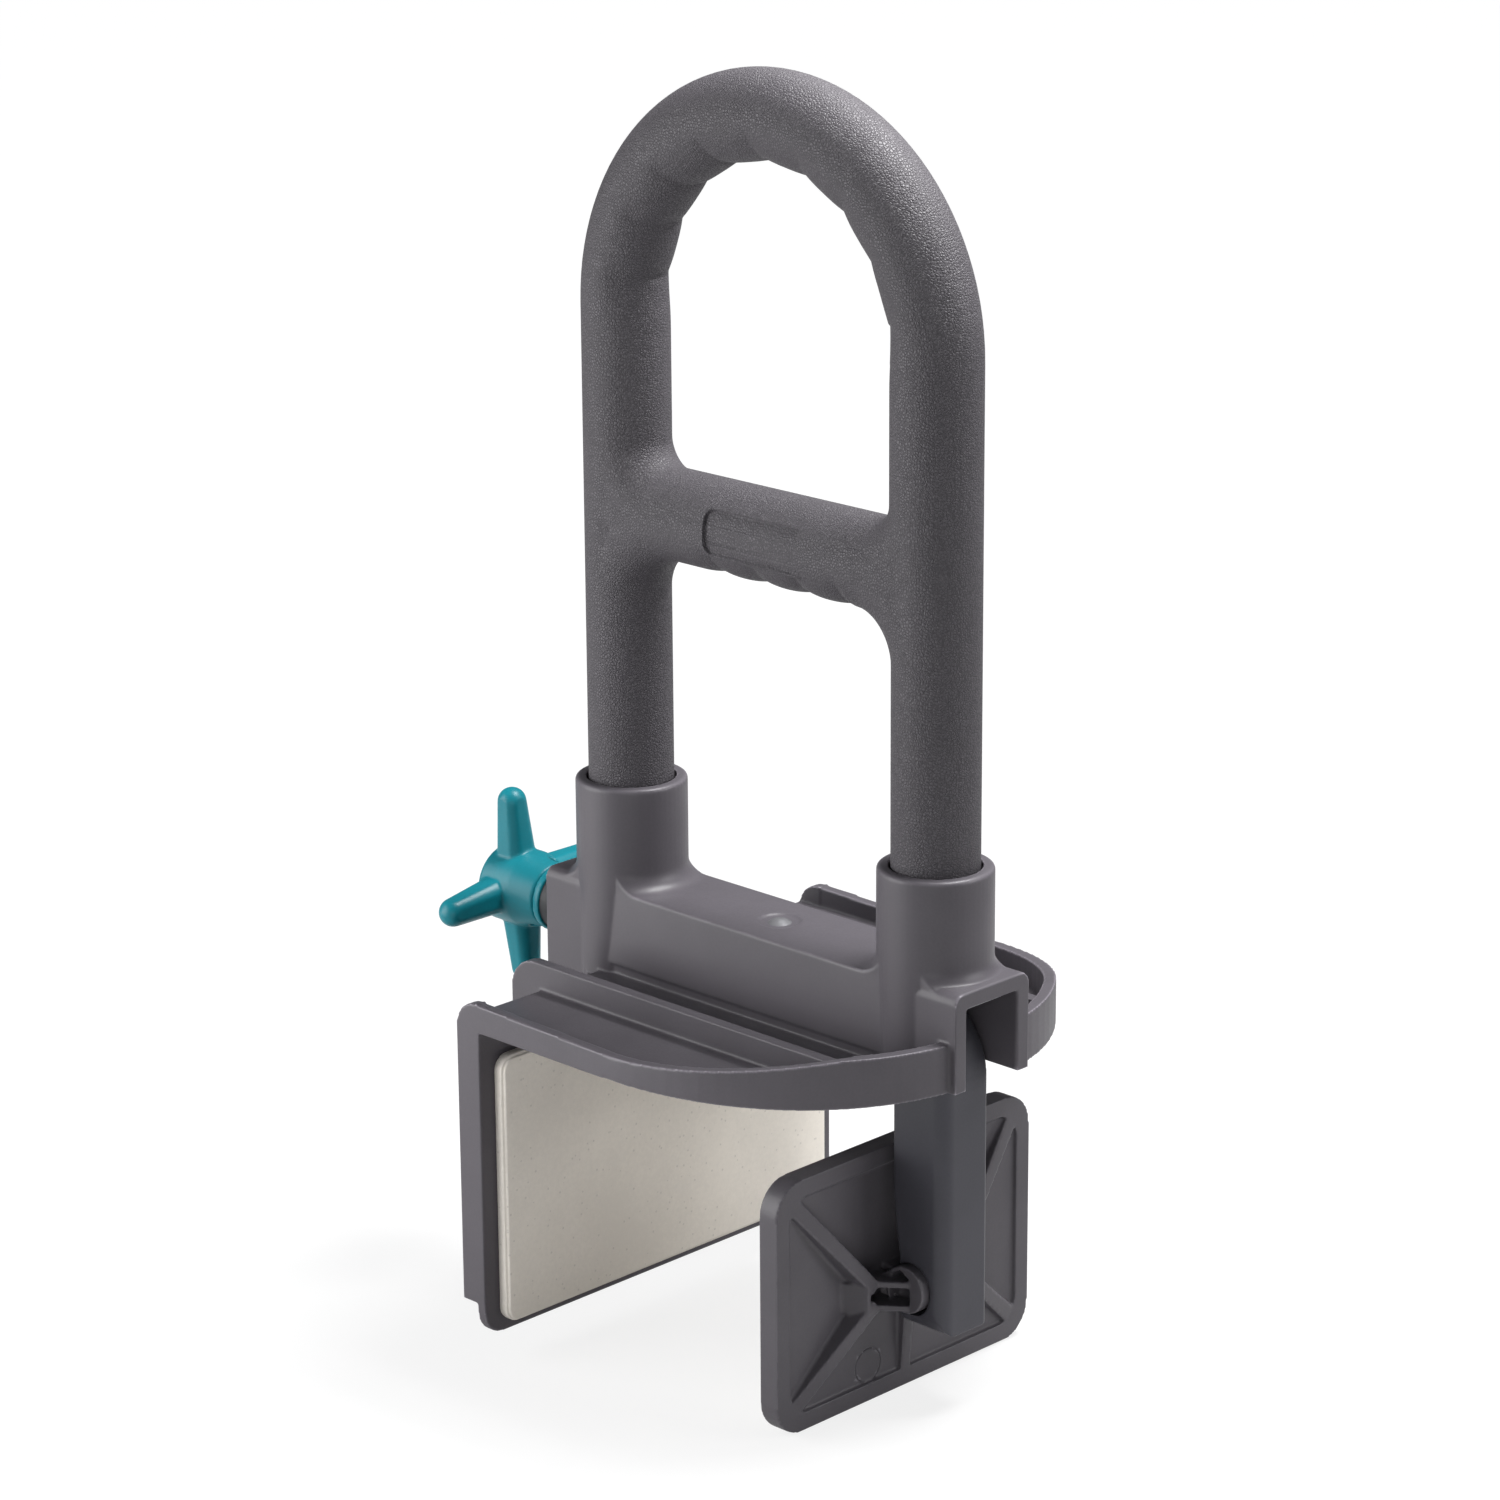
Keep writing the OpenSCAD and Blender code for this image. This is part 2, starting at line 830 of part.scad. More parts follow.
module keeper_screws() {
    color("#B9BCC0")
        for (x = keeper_screw_x, s = [-1, 1])
            translate([x, s * keeper_screw_y, wing_floor - keeper_t])
                difference() {
                    union() {
                        cylinder(h = keeper_t - 0.4, r1 = keeper_head_r - fit_gap, r2 = keeper_screw_r - fit_gap);
                        cylinder(h = keeper_screw_l, r = keeper_screw_r);
                    }
                    for (a = [0, 90])
                        rotate([0, 0, a])
                            cube([keeper_head_r * 1.3, 0.8, 1.6], center = true);
                }
}

// Rubber pad with a rounded outline, raised from x
module rubber_pad(x, thickness, w, h, r) {
    along(x, thickness)
        rounded(w, h, r);
}

module fixed_jaw_pad() {
    pad_h = fixed_pad_low - fixed_pad_top;
    pad_r = 6;
    color("#C0BAAE")
        translate([0, 0, -(fixed_pad_low + fixed_pad_top) / 2]) {
            rubber_pad(jaw_x, pad_t - pad_edge, 2 * fixed_pad_half, pad_h, pad_r);
            rubber_pad(jaw_x, pad_t, 2 * (fixed_pad_half - pad_edge), pad_h - 2 * pad_edge, pad_r - pad_edge);
        }
}

// Flanged bushing pressed in the end wall
module screw_bushing() {
    color("#26282B")
        difference() {
            union() {
                on_screw(-end_x, end_wall, bush_r, bush_r);
                on_screw(-end_x - bush_flange, bush_flange, collar_r, collar_r);
            }
            on_screw(-end_x - bush_flange - cut, end_wall + bush_flange + 2 * cut,
                screw_d / 2 + screw_gap, screw_d / 2 + screw_gap);
        }
}

// Flat ring on the screw
module flat_ring(x, length, r) {
    difference() {
        on_screw(x, length, r, r);
        on_screw(x - cut, length + 2 * cut, screw_d / 2 + screw_gap, screw_d / 2 + screw_gap);
    }
}

module thrust_washer() {
    color("#9EA2A6")
        flat_ring(-end_x - bush_flange - washer_t, washer_t, collar_r);
}

module spacer_collar() {
    color("#26282B")
        flat_ring(ring_face, -end_x - bush_flange - washer_t - ring_face, collar_r - 0.4);
}

module end_washer() {
    color("#9EA2A6")
        flat_ring(wall_in_x + fit_gap, end_washer_t, bush_r + 1);
}

// Open ring in the groove of the screw
module retaining_ring() {
    from = wall_in_x + end_washer_t + 2 * fit_gap;
    color("#6E7276")
        difference() {
            on_screw(from, clip_t, bush_r, bush_r);
            on_screw(from - cut, clip_t + 2 * cut, clip_groove_r + fit_gap / 2, clip_groove_r + fit_gap / 2);
            translate([from - cut, -clip_groove_r * 0.8, screw_z - 2 * bush_r])
                cube([clip_t + 2 * cut, clip_groove_r * 1.6, 2 * bush_r]);
        }
}

// One turn of the thread, as radius and place along the screw
function thread_turn(i) = [
    [screw_d / 2 - thread_depth, thread_from + i * screw_lead],
    [screw_d / 2, thread_from + (i + 0.3) * screw_lead],
    [screw_d / 2, thread_from + (i + 0.6) * screw_lead],
    [screw_d / 2 - thread_depth, thread_from + (i + 0.9) * screw_lead]
];

module clamp_screw() {
    turns = floor((screw_tip - thread_from) / screw_lead);
    root_r = screw_d / 2 - thread_depth;
    threads = [for (i = [0 : turns - 1]) each thread_turn(i)];
    color("#A3A7AB")
        difference() {
            translate([0, 0, screw_z])
                rotate([0, 90, 0])
                    rotate_extrude()
                        polygon(concat(
                            [[0, screw_head_from], [screw_d / 2, screw_head_from], [screw_d / 2, thread_from - 1]],
                            threads,
                            [[root_r, screw_tip - 1], [root_r - 1, screw_tip], [0, screw_tip]]
                        ));
            ring_groove();
            cross_rod(2 * screw_d, pin_r + fit_gap / 2);
        }
}

// Groove that the open ring sits in
module ring_groove() {
    from = wall_in_x + end_washer_t + 2 * fit_gap - fit_gap / 2;
    difference() {
        on_screw(from, clip_t + fit_gap, screw_d, screw_d);
        on_screw(from - cut, clip_t + 2 * cut, clip_groove_r, clip_groove_r);
    }
}

// A rod across the screw, where the knob is pinned to it
module cross_rod(length, r) {
    translate([pin_x, 0, screw_z])
        rotate([-pin_lean, 0, 0])
            cylinder(h = length, r = r, center = true);
}

module knob_pin() {
    color("#8E9297")
        cross_rod(2 * hub_neck_r - 2, pin_r);
}

// One arm of the knob: four flat sides with round corners, tapering to a round tip
module knob_arm() {
    tip_r = arm_corner * arm_tip_d / 2;
    taper_l = knob_arm_l - tip_r;
    intersection() {
        rotate_extrude()
            difference() {
                union() {
                    polygon([
                        [0, arm_foot],
                        [arm_corner * arm_root_d / 2, arm_foot],
                        [tip_r, taper_l],
                        [0, taper_l]
                    ]);
                    translate([0, taper_l])
                        circle(tip_r);
                }
                translate([-knob_arm_l, 0])
                    square([knob_arm_l, 2 * knob_arm_l]);
            }
        across(2 * arm_root_d)
            arm_sides(taper_l);
        rotate([0, 0, 90])
            across(2 * arm_root_d)
                arm_sides(taper_l);
    }
}

// Flat sides of a knob's arm, drawn in X and Z
module arm_sides(taper_l) {
    polygon([
        [-arm_root_d / 2, arm_foot],
        [arm_root_d / 2, arm_foot],
        [arm_tip_d / 2, taper_l],
        [arm_tip_d / 2, knob_arm_l],
        [-arm_tip_d / 2, knob_arm_l],
        [-arm_tip_d / 2, taper_l]
    ]);
}

module clamp_knob() {
    hub_r = hub_d / 2;
    hub_back = knob_x + arm_root_d / 2 + hub_edge;
    groove_x = ring_face - ring_t - hub_groove;
    color("#2E7280")
        difference() {
            union() {
                on_screw(ring_face - ring_t, ring_t, ring_d / 2, ring_d / 2);
                on_screw(groove_x, hub_groove + cut, hub_groove_r, hub_groove_r);
                on_screw(hub_back, groove_x - hub_back, hub_r - hub_edge, hub_neck_r);
                on_screw(knob_x - arm_root_d / 2, hub_back - knob_x + arm_root_d / 2,
                    hub_r - hub_edge, hub_r - hub_edge);
                on_screw(knob_x - arm_root_d / 2 - hub_cap_t, hub_cap_t,
                    hub_r - hub_cap_in, hub_r - hub_edge);
                for (i = [0 : 3])
                    translate([knob_x, 0, screw_z])
                        rotate([knob_turn + 90 * i, 0, 0])
                            knob_arm();
            }
            on_screw(screw_head_from, ring_face - screw_head_from + cut,
                screw_d / 2 + fit_gap / 2, screw_d / 2 + fit_gap / 2);
            cross_rod(4 * hub_d, pin_r + fit_gap / 2);
        }
}

module square_nut() {
    color("#A3A7AB")
        difference() {
            translate([nut_from + nut_gap, -nut_w / 2, screw_z - nut_w / 2])
                cube([nut_t, nut_w, nut_w]);
            on_screw(nut_from - cut, nut_t + 3 * cut, screw_d / 2 + screw_gap, screw_d / 2 + screw_gap);
        }
}

// Side view of the arm, drawn in X and Z
module arm_profile() {
    steps = 16;
    bend = [for (i = [0 : steps])
        [arm_front - arm_bend + arm_bend * cos(90 - 90 * i / steps),
            limb_top - arm_bend + arm_bend * sin(90 - 90 * i / steps)]];
    polygon(concat(
        [[limb_end, limb_top]],
        bend,
        [
            [arm_front, -arm_drop],
            [lip_x + 1, -arm_drop],
            [lip_x, -arm_drop + 1],
            [lip_x, pivot_z + barrel_d / 2 + 2],
            [lip_x - 1.2, pivot_z + barrel_d],
            [arm_back, pivot_z + 2 * barrel_d],
            [arm_back, limb_low - arm_knee],
            [arm_back - arm_knee, limb_low],
            [limb_end, limb_low]
        ]
    ));
}

// Plan of the arm, wide in the channel and narrow below it, drawn in X and Y
module arm_plan() {
    translate([limb_end, -limb_half])
        square([limb_wide_to - limb_end, 2 * limb_half]);
    translate([limb_wide_to - cut, -arm_half])
        square([arm_front - arm_round - limb_wide_to + cut, 2 * arm_half]);
    translate([limb_wide_to, -arm_half + arm_round])
        square([arm_front - limb_wide_to, 2 * (arm_half - arm_round)]);
    for (s = [-1, 1])
        translate([arm_front - arm_round, s * (arm_half - arm_round)])
            circle(arm_round);
}

module slide_arm() {
    nut_half = nut_w / 2 + nut_gap;
    color("#33363F")
        difference() {
            intersection() {
                across(4 * arm_half)
                    arm_profile();
                translate([0, 0, -2 * arm_drop])
                    linear_extrude(4 * arm_drop)
                        arm_plan();
            }
            on_screw(limb_end - cut, limb_bore_to - limb_end + cut, limb_bore_r, limb_bore_r);
            translate([nut_from, -nut_half, screw_z - nut_half])
                cube([nut_t + 2 * nut_gap, 2 * nut_half, 2 * channel_top]);
            translate([pivot_x, 0, pivot_z])
                rotate([90, 0, 0])
                    cylinder(h = 4 * arm_half, d = barrel_d + 2 * barrel_gap, center = true);
        }
}

// Fin from the end of the rails out to one corner of the plate, wider at its foot
module corner_fin(sy, corner_z) {
    foot_y = plate_half - border_w - fin_in;
    start_z = rail_z + (corner_z > pivot_z ? neck_half - 1 : 1 - neck_half);
    run = sqrt(pow(foot_y - fin_y, 2) + pow(corner_z - start_z, 2));
    lean = atan2(corner_z - start_z, sy * (foot_y - fin_y));
    low_x = field_x - cut;
    low_half = fin_t / 2 + fin_draft * (neck_x - low_x);
    translate([0, sy * fin_y, start_z])
        rotate([lean, 0, 0])
            intersection() {
                translate([0, 0, -fin_t])
                    linear_extrude(2 * fin_t)
                        polygon([
                            [low_x, -fin_t / 2],
                            [neck_x, -fin_t / 2],
                            [neck_x, 0],
                            [plate_back, run],
                            [plate_back, run + fin_tail],
                            [low_x, run + fin_tail]
                        ]);
                translate([0, -fin_t, 0])
                    rotate([-90, 0, 0])
                        linear_extrude(run + fin_tail + fin_t + cut)
                            polygon([
                                [low_x, -low_half],
                                [neck_x, -fin_t / 2],
                                [neck_x, fin_t / 2],
                                [low_x, low_half]
                            ]);
            }
}

// One rail beside the barrel, drawn in X and Y
module rail_plan() {
    polygon([
        [field_x - cut, arm_half + rail_gap],
        [pivot_x + slot_front, arm_half + rail_gap],
        [pivot_x + slot_front, barrel_half],
        [neck_x, neck_y],
        [neck_x, web_y],
        [field_x - cut, web_y + web_run]
    ]);
}

// Sloping web that closes the outer end of the rails, drawn in X and Y
module web_plan() {
    polygon([
        [field_x - cut, web_y - web_run],
        [neck_x, web_y - web_t],
        [neck_x, web_y],
        [field_x - cut, web_y + web_run]
    ]);
}

// Rails, web and gusset at one end of the barrel
module barrel_end() {
    for (sz = [-1, 1])
        translate([0, 0, rail_z + sz * (rail_half + rail_t / 2) - rail_t / 2])
            linear_extrude(rail_t)
                rail_plan();
    translate([0, 0, rail_z - neck_half])
        linear_extrude(2 * neck_half)
            web_plan();
    translate([0, (arm_half + rail_gap + barrel_half) / 2, 0])
        across(barrel_half - arm_half - rail_gap)
            polygon([
                [pivot_x, rail_z + rail_half],
                [pivot_x, pivot_z + barrel_d / 2 - web_t],
                [pivot_x - 0.35 * barrel_d / 2, pivot_z + 0.93 * barrel_d / 2],
                [pivot_x - 1.2 * barrel_d / 2, rail_z + neck_half],
                [pivot_x - 1.2 * barrel_d / 2, rail_z + rail_half]
            ]);
}

// Pockets in the end of the barrel: one between the rails, and a small one above them
module barrel_pockets() {
    pocket_y = barrel_half - slot_depth;
    translate([neck_x - cut, pocket_y, rail_z - rail_half])
        cube([pivot_x + slot_front - neck_x + cut, slot_depth + cut, 2 * rail_half]);
    translate([0, pocket_y + (slot_depth + cut) / 2, 0])
        across(slot_depth + cut)
            polygon([
                [pivot_x - 0.25 * barrel_d / 2, pivot_z + 0.78 * barrel_d / 2],
                [pivot_x - 0.92 * barrel_d / 2, rail_z + neck_half],
                [pivot_x + 0.48 * barrel_d / 2, rail_z + neck_half]
            ]);
}

// Barrel with its rails and cored ends
module barrel() {
    difference() {
        union() {
            translate([pivot_x, 0, pivot_z])
                rotate([90, 0, 0])
                    cylinder(h = 2 * barrel_half, d = barrel_d, center = true);
            barrel_end();
            mirror([0, 1, 0])
                barrel_end();
        }
        barrel_pockets();
        mirror([0, 1, 0])
            barrel_pockets();
    }
}

module swivel_plate() {
    plate_mid = -(plate_top + plate_low) / 2;
    inner_w = 2 * (plate_half - border_w);
    inner_h = plate_h - 2 * border_w;
    color("#545158") {
        difference() {
            along(plate_front, plate_t)
                translate([0, plate_mid])
                    rounded(2 * plate_half, plate_h, plate_corner);
            along(field_x, plate_t)
                translate([0, plate_mid])
                    rounded(inner_w, inner_h, plate_corner - border_w / 2);
        }
        barrel();
        translate([field_x - cut, -arm_half + 1, pivot_z - block_half])
            cube([pivot_x - barrel_d / 2 - field_x + 2 * cut, 2 * arm_half - 2, 2 * block_half]);
        for (sy = [-1, 1]) {
            corner_fin(sy, -plate_top - border_w - fin_in);
            corner_fin(sy, -plate_low + border_w + fin_in);
        }
        across(fin_t)
            polygon([
                [field_x - cut, -plate_low + border_w - cut],
                [plate_back, -plate_low + border_w - cut],
                [plate_back + spine_rise, pivot_z - block_half + cut],
                [field_x - cut, pivot_z - block_half + cut]
            ]);
    }
}

module swivel_jaw_pad() {
    pad_w = 2 * (plate_half - swivel_pad_margin);
    pad_h = plate_h - 2 * swivel_pad_margin;
    pad_r = plate_corner - swivel_pad_margin / 2;
    color("#C0BAAE")
        translate([0, 0, -(plate_top + plate_low) / 2]) {
            rubber_pad(plate_front - pad_t + pad_edge, pad_t - pad_edge, pad_w, pad_h, pad_r);
            rubber_pad(plate_front - pad_t, pad_t, pad_w - 2 * pad_edge, pad_h - 2 * pad_edge, pad_r - pad_edge);
        }
}

handle_grip();
steel_core();
leg_plug_left();
leg_plug_right();
leg_screws();
leg_washers();
saddle_base();
wear_strip();
strip_rivet();
keeper_plate();
keeper_screws();
fixed_jaw_pad();
screw_bushing();
spacer_collar();
thrust_washer();
end_washer();
retaining_ring();
clamp_screw();
knob_pin();
clamp_knob();
square_nut();
slide_arm();
swivel_plate();
swivel_jaw_pad();
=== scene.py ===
import json
import math

import bpy
import numpy
from mathutils import Matrix, Vector

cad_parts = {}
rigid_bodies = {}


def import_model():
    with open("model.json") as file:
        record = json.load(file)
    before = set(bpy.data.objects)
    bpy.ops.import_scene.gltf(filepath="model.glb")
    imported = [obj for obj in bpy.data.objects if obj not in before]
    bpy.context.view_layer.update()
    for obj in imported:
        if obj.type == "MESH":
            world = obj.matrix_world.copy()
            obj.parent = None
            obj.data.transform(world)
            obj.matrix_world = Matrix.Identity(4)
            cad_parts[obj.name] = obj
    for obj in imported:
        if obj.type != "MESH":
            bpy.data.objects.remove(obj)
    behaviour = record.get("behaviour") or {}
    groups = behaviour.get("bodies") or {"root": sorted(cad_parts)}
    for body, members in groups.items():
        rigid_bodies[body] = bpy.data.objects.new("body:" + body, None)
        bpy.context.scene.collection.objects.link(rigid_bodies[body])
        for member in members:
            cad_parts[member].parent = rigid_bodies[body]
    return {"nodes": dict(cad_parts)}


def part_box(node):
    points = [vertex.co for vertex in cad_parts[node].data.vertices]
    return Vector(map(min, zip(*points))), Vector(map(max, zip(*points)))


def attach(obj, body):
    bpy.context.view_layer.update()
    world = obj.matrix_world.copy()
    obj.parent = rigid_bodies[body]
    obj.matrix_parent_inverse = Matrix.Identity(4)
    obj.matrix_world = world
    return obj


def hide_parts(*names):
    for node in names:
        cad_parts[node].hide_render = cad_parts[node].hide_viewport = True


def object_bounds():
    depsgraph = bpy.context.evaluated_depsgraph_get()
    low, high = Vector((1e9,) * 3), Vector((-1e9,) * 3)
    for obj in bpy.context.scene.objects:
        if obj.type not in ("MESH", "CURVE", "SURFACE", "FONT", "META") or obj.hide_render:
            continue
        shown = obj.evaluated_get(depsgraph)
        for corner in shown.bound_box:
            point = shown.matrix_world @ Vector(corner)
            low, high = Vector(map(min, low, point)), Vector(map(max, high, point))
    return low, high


bl_info = {
    "name": "Bathtub Grab Bar",
    "version": (1, 0, 0),
    "blender": (4, 5, 0),
    "location": "3D View > Sidebar > Grab Bar",
    "description": "Dresses the clamp-on bathtub grab bar with its moulded shapes and finishes",
    "category": "Object",
}

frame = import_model()
CAD_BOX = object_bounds()
NODES = frame["nodes"]

# Places taken from the frame. All lengths are in metres.
GRIP_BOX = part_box("handle_grip")
PLATE_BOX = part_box("swivel_plate")
GRIP_RADIUS = GRIP_BOX[1].y
LEG_X = GRIP_BOX[1].x - GRIP_RADIUS
ARCH_Z = GRIP_BOX[1].z - GRIP_RADIUS - LEG_X
FIELD_X = PLATE_BOX[0].x
# Crossbar: its middle, half of the straight part of its oval
BAR_Z = 0.179
BAR_STRAIGHT = 0.001
# Copied nodes: distance at which their loose corners merge
MERGE = 0.000004
# Pads: rounding of their edges, its steps, the angle under which faces count as flat, and
# those over which an edge is rounded and shaded as an edge
PAD_ROUND = 0.0006
ROUND_STEPS = 3
FLAT_ANGLE = math.radians(0.6)
ROUND_ANGLE = math.radians(32.0)
SHADE_ANGLE = math.radians(40.0)
# Bare label panel on the crossbar: middle, half sizes, corners and depth
PANEL_X = 0.001
PANEL_Z = BAR_Z + 0.0015
PANEL_HALF = (0.023, 0.00825)
PANEL_ROUND = 0.0035
PANEL_SQUARE = 0.0008
PANEL_DEPTH = 0.0013
# The panel's wall and the blend round it, as distances outside its edge
PANEL_WALL = (-0.0001, 0.0003)
PANEL_BLEND = (0.0004, 0.0019)
PANEL_MARGIN = 0.002
PANEL_FRONT = -0.006
PANEL_SKIN = 0.004
# Finger creases inside the arch: degrees between them, first one, and number of lobes
ARCH_STEP = 20.0
ARCH_FIRST = 10.0
ARCH_LOBES = 8
# Finger creases under the crossbar: distance between them, and in steps from the middle
# where they fade out on both sides and where they stop on the left
BAR_STEP = 0.021
BAR_FADE = (1.95, 2.2)
BAR_LEFT_END = 1.5
# How sharp a crease is, and how far round the tube it reaches (cosines from the inner side)
CREASE_POWER = 2.2
CREASE_FADE = (0.1, 0.62)
# Low on the arch's right side the creases are shifted by some degrees and weaker
LOW_RIGHT_TURN = (-50.0, -25.0)
LOW_RIGHT_SHIFT = 2.0
LOW_RIGHT_LOSS = 0.45
# Length over which the last creases run out, and thickness of skin that the creases move
RUN_OUT = 0.02
SKIN = 0.003
TINY = 1e-6
# Upright limb of the sliding arm: its front face, half width, foot and rounding
ARM_FRONT = 0.0918
ARM_HALF = 0.0117
ARM_FOOT = -0.0983
ARM_EDGE_ROUND = 0.0055
ARM_FOOT_ROUND = 0.009
# How much lower the foot ends, and over which height it is stretched
ARM_FOOT_DROP = 0.0022
ARM_FOOT_STRETCH = 0.02
# Bare mould mark on the swivel plate: place, radius, half width and depth of its ring
MARK_Y = -0.0182
MARK_Z = -0.1166
MARK_RADIUS = 0.0066
MARK_HALF = 0.0005
MARK_DEPTH = 0.0004
MARK_MARGIN = 0.0016
MARK_FRONT = FIELD_X + 0.002
# End wall at the knob: where it begins and fades in, its half width, how much deeper it
# reaches, over which height it is stretched, and the lowest point that belongs to it
END_FROM = -0.0755
END_FADE = 0.003
END_HALF = 0.0199
END_DROP = 0.003
END_STRETCH = 0.012
END_UNDER = -0.001
# Most triangles of each piece
GRIP_TRIANGLES = 185000
SADDLE_TRIANGLES = 195000
KNOB_TRIANGLES = 120000
PLATE_TRIANGLES = 150000
ARM_TRIANGLES = 120000
# Colours of the fittings: rolled steel, zinc plating, the rivet's head, dark plastic
STEEL_COLOUR = (0.52, 0.53, 0.54)
ZINC_COLOUR = (0.68, 0.69, 0.71)
RIVET_COLOUR = (0.20, 0.20, 0.21)
DARK_COLOUR = (0.02, 0.021, 0.023)
# Lines per metre along and across a drawn surface, and on a turned one
DRAWN_LINES = (6.0, 900.0, 900.0)
TURNED_LINES = (500.0, 500.0, 500.0)
# Sockets of a Mix node: first, second and result, for colours and for vectors
COLOUR_A, COLOUR_B, COLOUR_OUT = 6, 7, 2
VECTOR_A, VECTOR_B, VECTOR_OUT = 4, 5, 1
# Soft lamps: place, side and share of the lamp power. They look at the target.
LAMPS = {
    "Key": ((-0.55, -0.71, 0.24), 0.8, 1.0),
    "Right": ((1.61, 0.93, 0.85), 1.0, 1.5),
    "Fill": ((1.22, -1.45, 0.15), 1.0, 0.55),
    "Top": ((0.12, 0.22, 0.80), 0.35, 1.2),
}
LAMP_TARGET = (0.0, 0.0, 0.1)
# Floor: its side, its tone in bounced light and what the camera adds to it, and the share
# of plain white that the camera and mirrored rays see
FLOOR_SIDE = 8.0
FLOOR_TONE = 0.5
FLOOR_TONE_SEEN = 0.45
FLOOR_WHITE_SEEN = 0.8
FLOOR_WHITE_MIRRORED = 0.3
# Distance from the object over which the lamps fade, and the white that makes up for it
FLOOR_FADE = (0.35, 1.3)
FLOOR_LIFT = 0.22
# Even light from all sides
AMBIENT_COLOUR = (0.93, 0.95, 1.0, 1.0)
AMBIENT_STRENGTH = 0.12
# Camera of the photograph: lens and sensor in millimetres, place, and axes of its picture
CAMERA_LENS = 114.58
CAMERA_SENSOR = 36.0
CAMERA_CLIP = (0.05, 30.0)
CAMERA_PLACE = (1.144806609, -1.178868471, 0.612243184)
CAMERA_RIGHT = (0.7144134831, 0.6996923461, -0.0066329505)
CAMERA_UP = (-0.2036934725, 0.2170292218, 0.9546765348)


# ---------------------------------------------------------------- settings


class GripSettings(bpy.types.PropertyGroup):
    colour: bpy.props.FloatVectorProperty(
        name="Grip colour", description="Colour of the rubber grip", subtype="COLOR",
        size=3, min=0.0, max=1.0, default=(0.072, 0.066, 0.075))
    grain_size: bpy.props.FloatProperty(
        name="Grain size", description="Width of one pebble of the rubber's grain",
        default=0.00105, min=0.0004, max=0.005, unit="LENGTH")
    lobe_depth: bpy.props.FloatProperty(
        name="Lobe depth", description="How far the finger lobes fall back at their creases",
        default=0.0013, min=0.0, max=0.003, unit="LENGTH")
    voxel: bpy.props.FloatProperty(
        name="Blend size", description="Size of the cells that blend the tubes into one skin",
        default=0.0008, min=0.0006, max=0.003, unit="LENGTH")


class SaddleSettings(bpy.types.PropertyGroup):
    colour: bpy.props.FloatVectorProperty(
        name="Saddle colour", description="Colour of the moulded saddle", subtype="COLOR",
        size=3, min=0.0, max=1.0, default=(0.090, 0.083, 0.094))
    voxel: bpy.props.FloatProperty(
        name="Edge size", description="Size of the cells that round the saddle's edges",
        default=0.0006, min=0.0005, max=0.003, unit="LENGTH")


class JawSettings(bpy.types.PropertyGroup):
    plate_colour: bpy.props.FloatVectorProperty(
        name="Plate colour", description="Colour of the moulded swivel plate", subtype="COLOR",
        size=3, min=0.0, max=1.0, default=(0.087, 0.081, 0.091))
    arm_colour: bpy.props.FloatVectorProperty(
        name="Arm colour", description="Colour of the coated sliding arm", subtype="COLOR",
        size=3, min=0.0, max=1.0, default=(0.056, 0.055, 0.066))
    pad_colour: bpy.props.FloatVectorProperty(
        name="Pad colour", description="Colour of the rubber pads", subtype="COLOR",
        size=3, min=0.0, max=1.0, default=(0.88, 0.83, 0.755))
    voxel: bpy.props.FloatProperty(
        name="Edge size",
        description="Size of the cells that round the plate's and the arm's edges",
        default=0.0006, min=0.0004, max=0.003, unit="LENGTH")


class KnobSettings(bpy.types.PropertyGroup):
    colour: bpy.props.FloatVectorProperty(
        name="Knob colour", description="Colour of the moulded knob", subtype="COLOR",
        size=3, min=0.0, max=1.0, default=(0.004, 0.165, 0.205))
    voxel: bpy.props.FloatProperty(
        name="Blend size", description="Size of the cells that blend the arms into the hub",
        default=0.0006, min=0.0004, max=0.002, unit="LENGTH")


class StageSettings(bpy.types.PropertyGroup):
    lamp_power: bpy.props.FloatProperty(
        name="Lamp power", description="Power of the key lamp, which the other lamps follow",
        default=11.0, min=0.0, max=100.0, unit="POWER")
    floor_drop: bpy.props.FloatProperty(
        name="Floor drop", description="Distance from the lowest piece to the floor",
        default=0.0005, min=0.0, max=0.1, unit="LENGTH")


def settings(name):
    """The scene's own settings of a kind."""
    return getattr(bpy.context.scene, name)


# ---------------------------------------------------------------- mesh helpers


def clear_selection():
    """Leaves edit mode and deselects everything."""
    if bpy.context.object and bpy.context.object.mode != "OBJECT":
        bpy.ops.object.mode_set(mode="OBJECT")
    for obj in bpy.context.view_layer.objects.selected[:]:
        obj.select_set(False)


def make_active(obj):
    """Selects one object alone and makes it the active one."""
    clear_selection()
    obj.hide_set(False)
    obj.select_set(True)
    bpy.context.view_layer.objects.active = obj


def copy_of_node(node, name):
    """A copy of a CAD node's mesh as a new object, with its loose triangles merged."""
    mesh = NODES[node].data.copy()
    mesh.name = name
    obj = bpy.data.objects.new(name, mesh)
    bpy.context.scene.collection.objects.link(obj)
    mesh.materials.clear()
    make_active(obj)
    bpy.ops.object.mode_set(mode="EDIT")
    bpy.ops.mesh.select_all(action="SELECT")
    bpy.ops.mesh.customdata_custom_splitnormals_clear()
    bpy.ops.mesh.remove_doubles(threshold=MERGE)
    bpy.ops.object.mode_set(mode="OBJECT")
    return obj


def apply_modifier(obj, kind, name, **values):
    """Adds a modifier, sets its values and applies it."""
    make_active(obj)
    modifier = obj.modifiers.new(name, kind)
    for key, value in values.items():
        setattr(modifier, key, value)
    bpy.ops.object.modifier_apply(modifier=modifier.name)


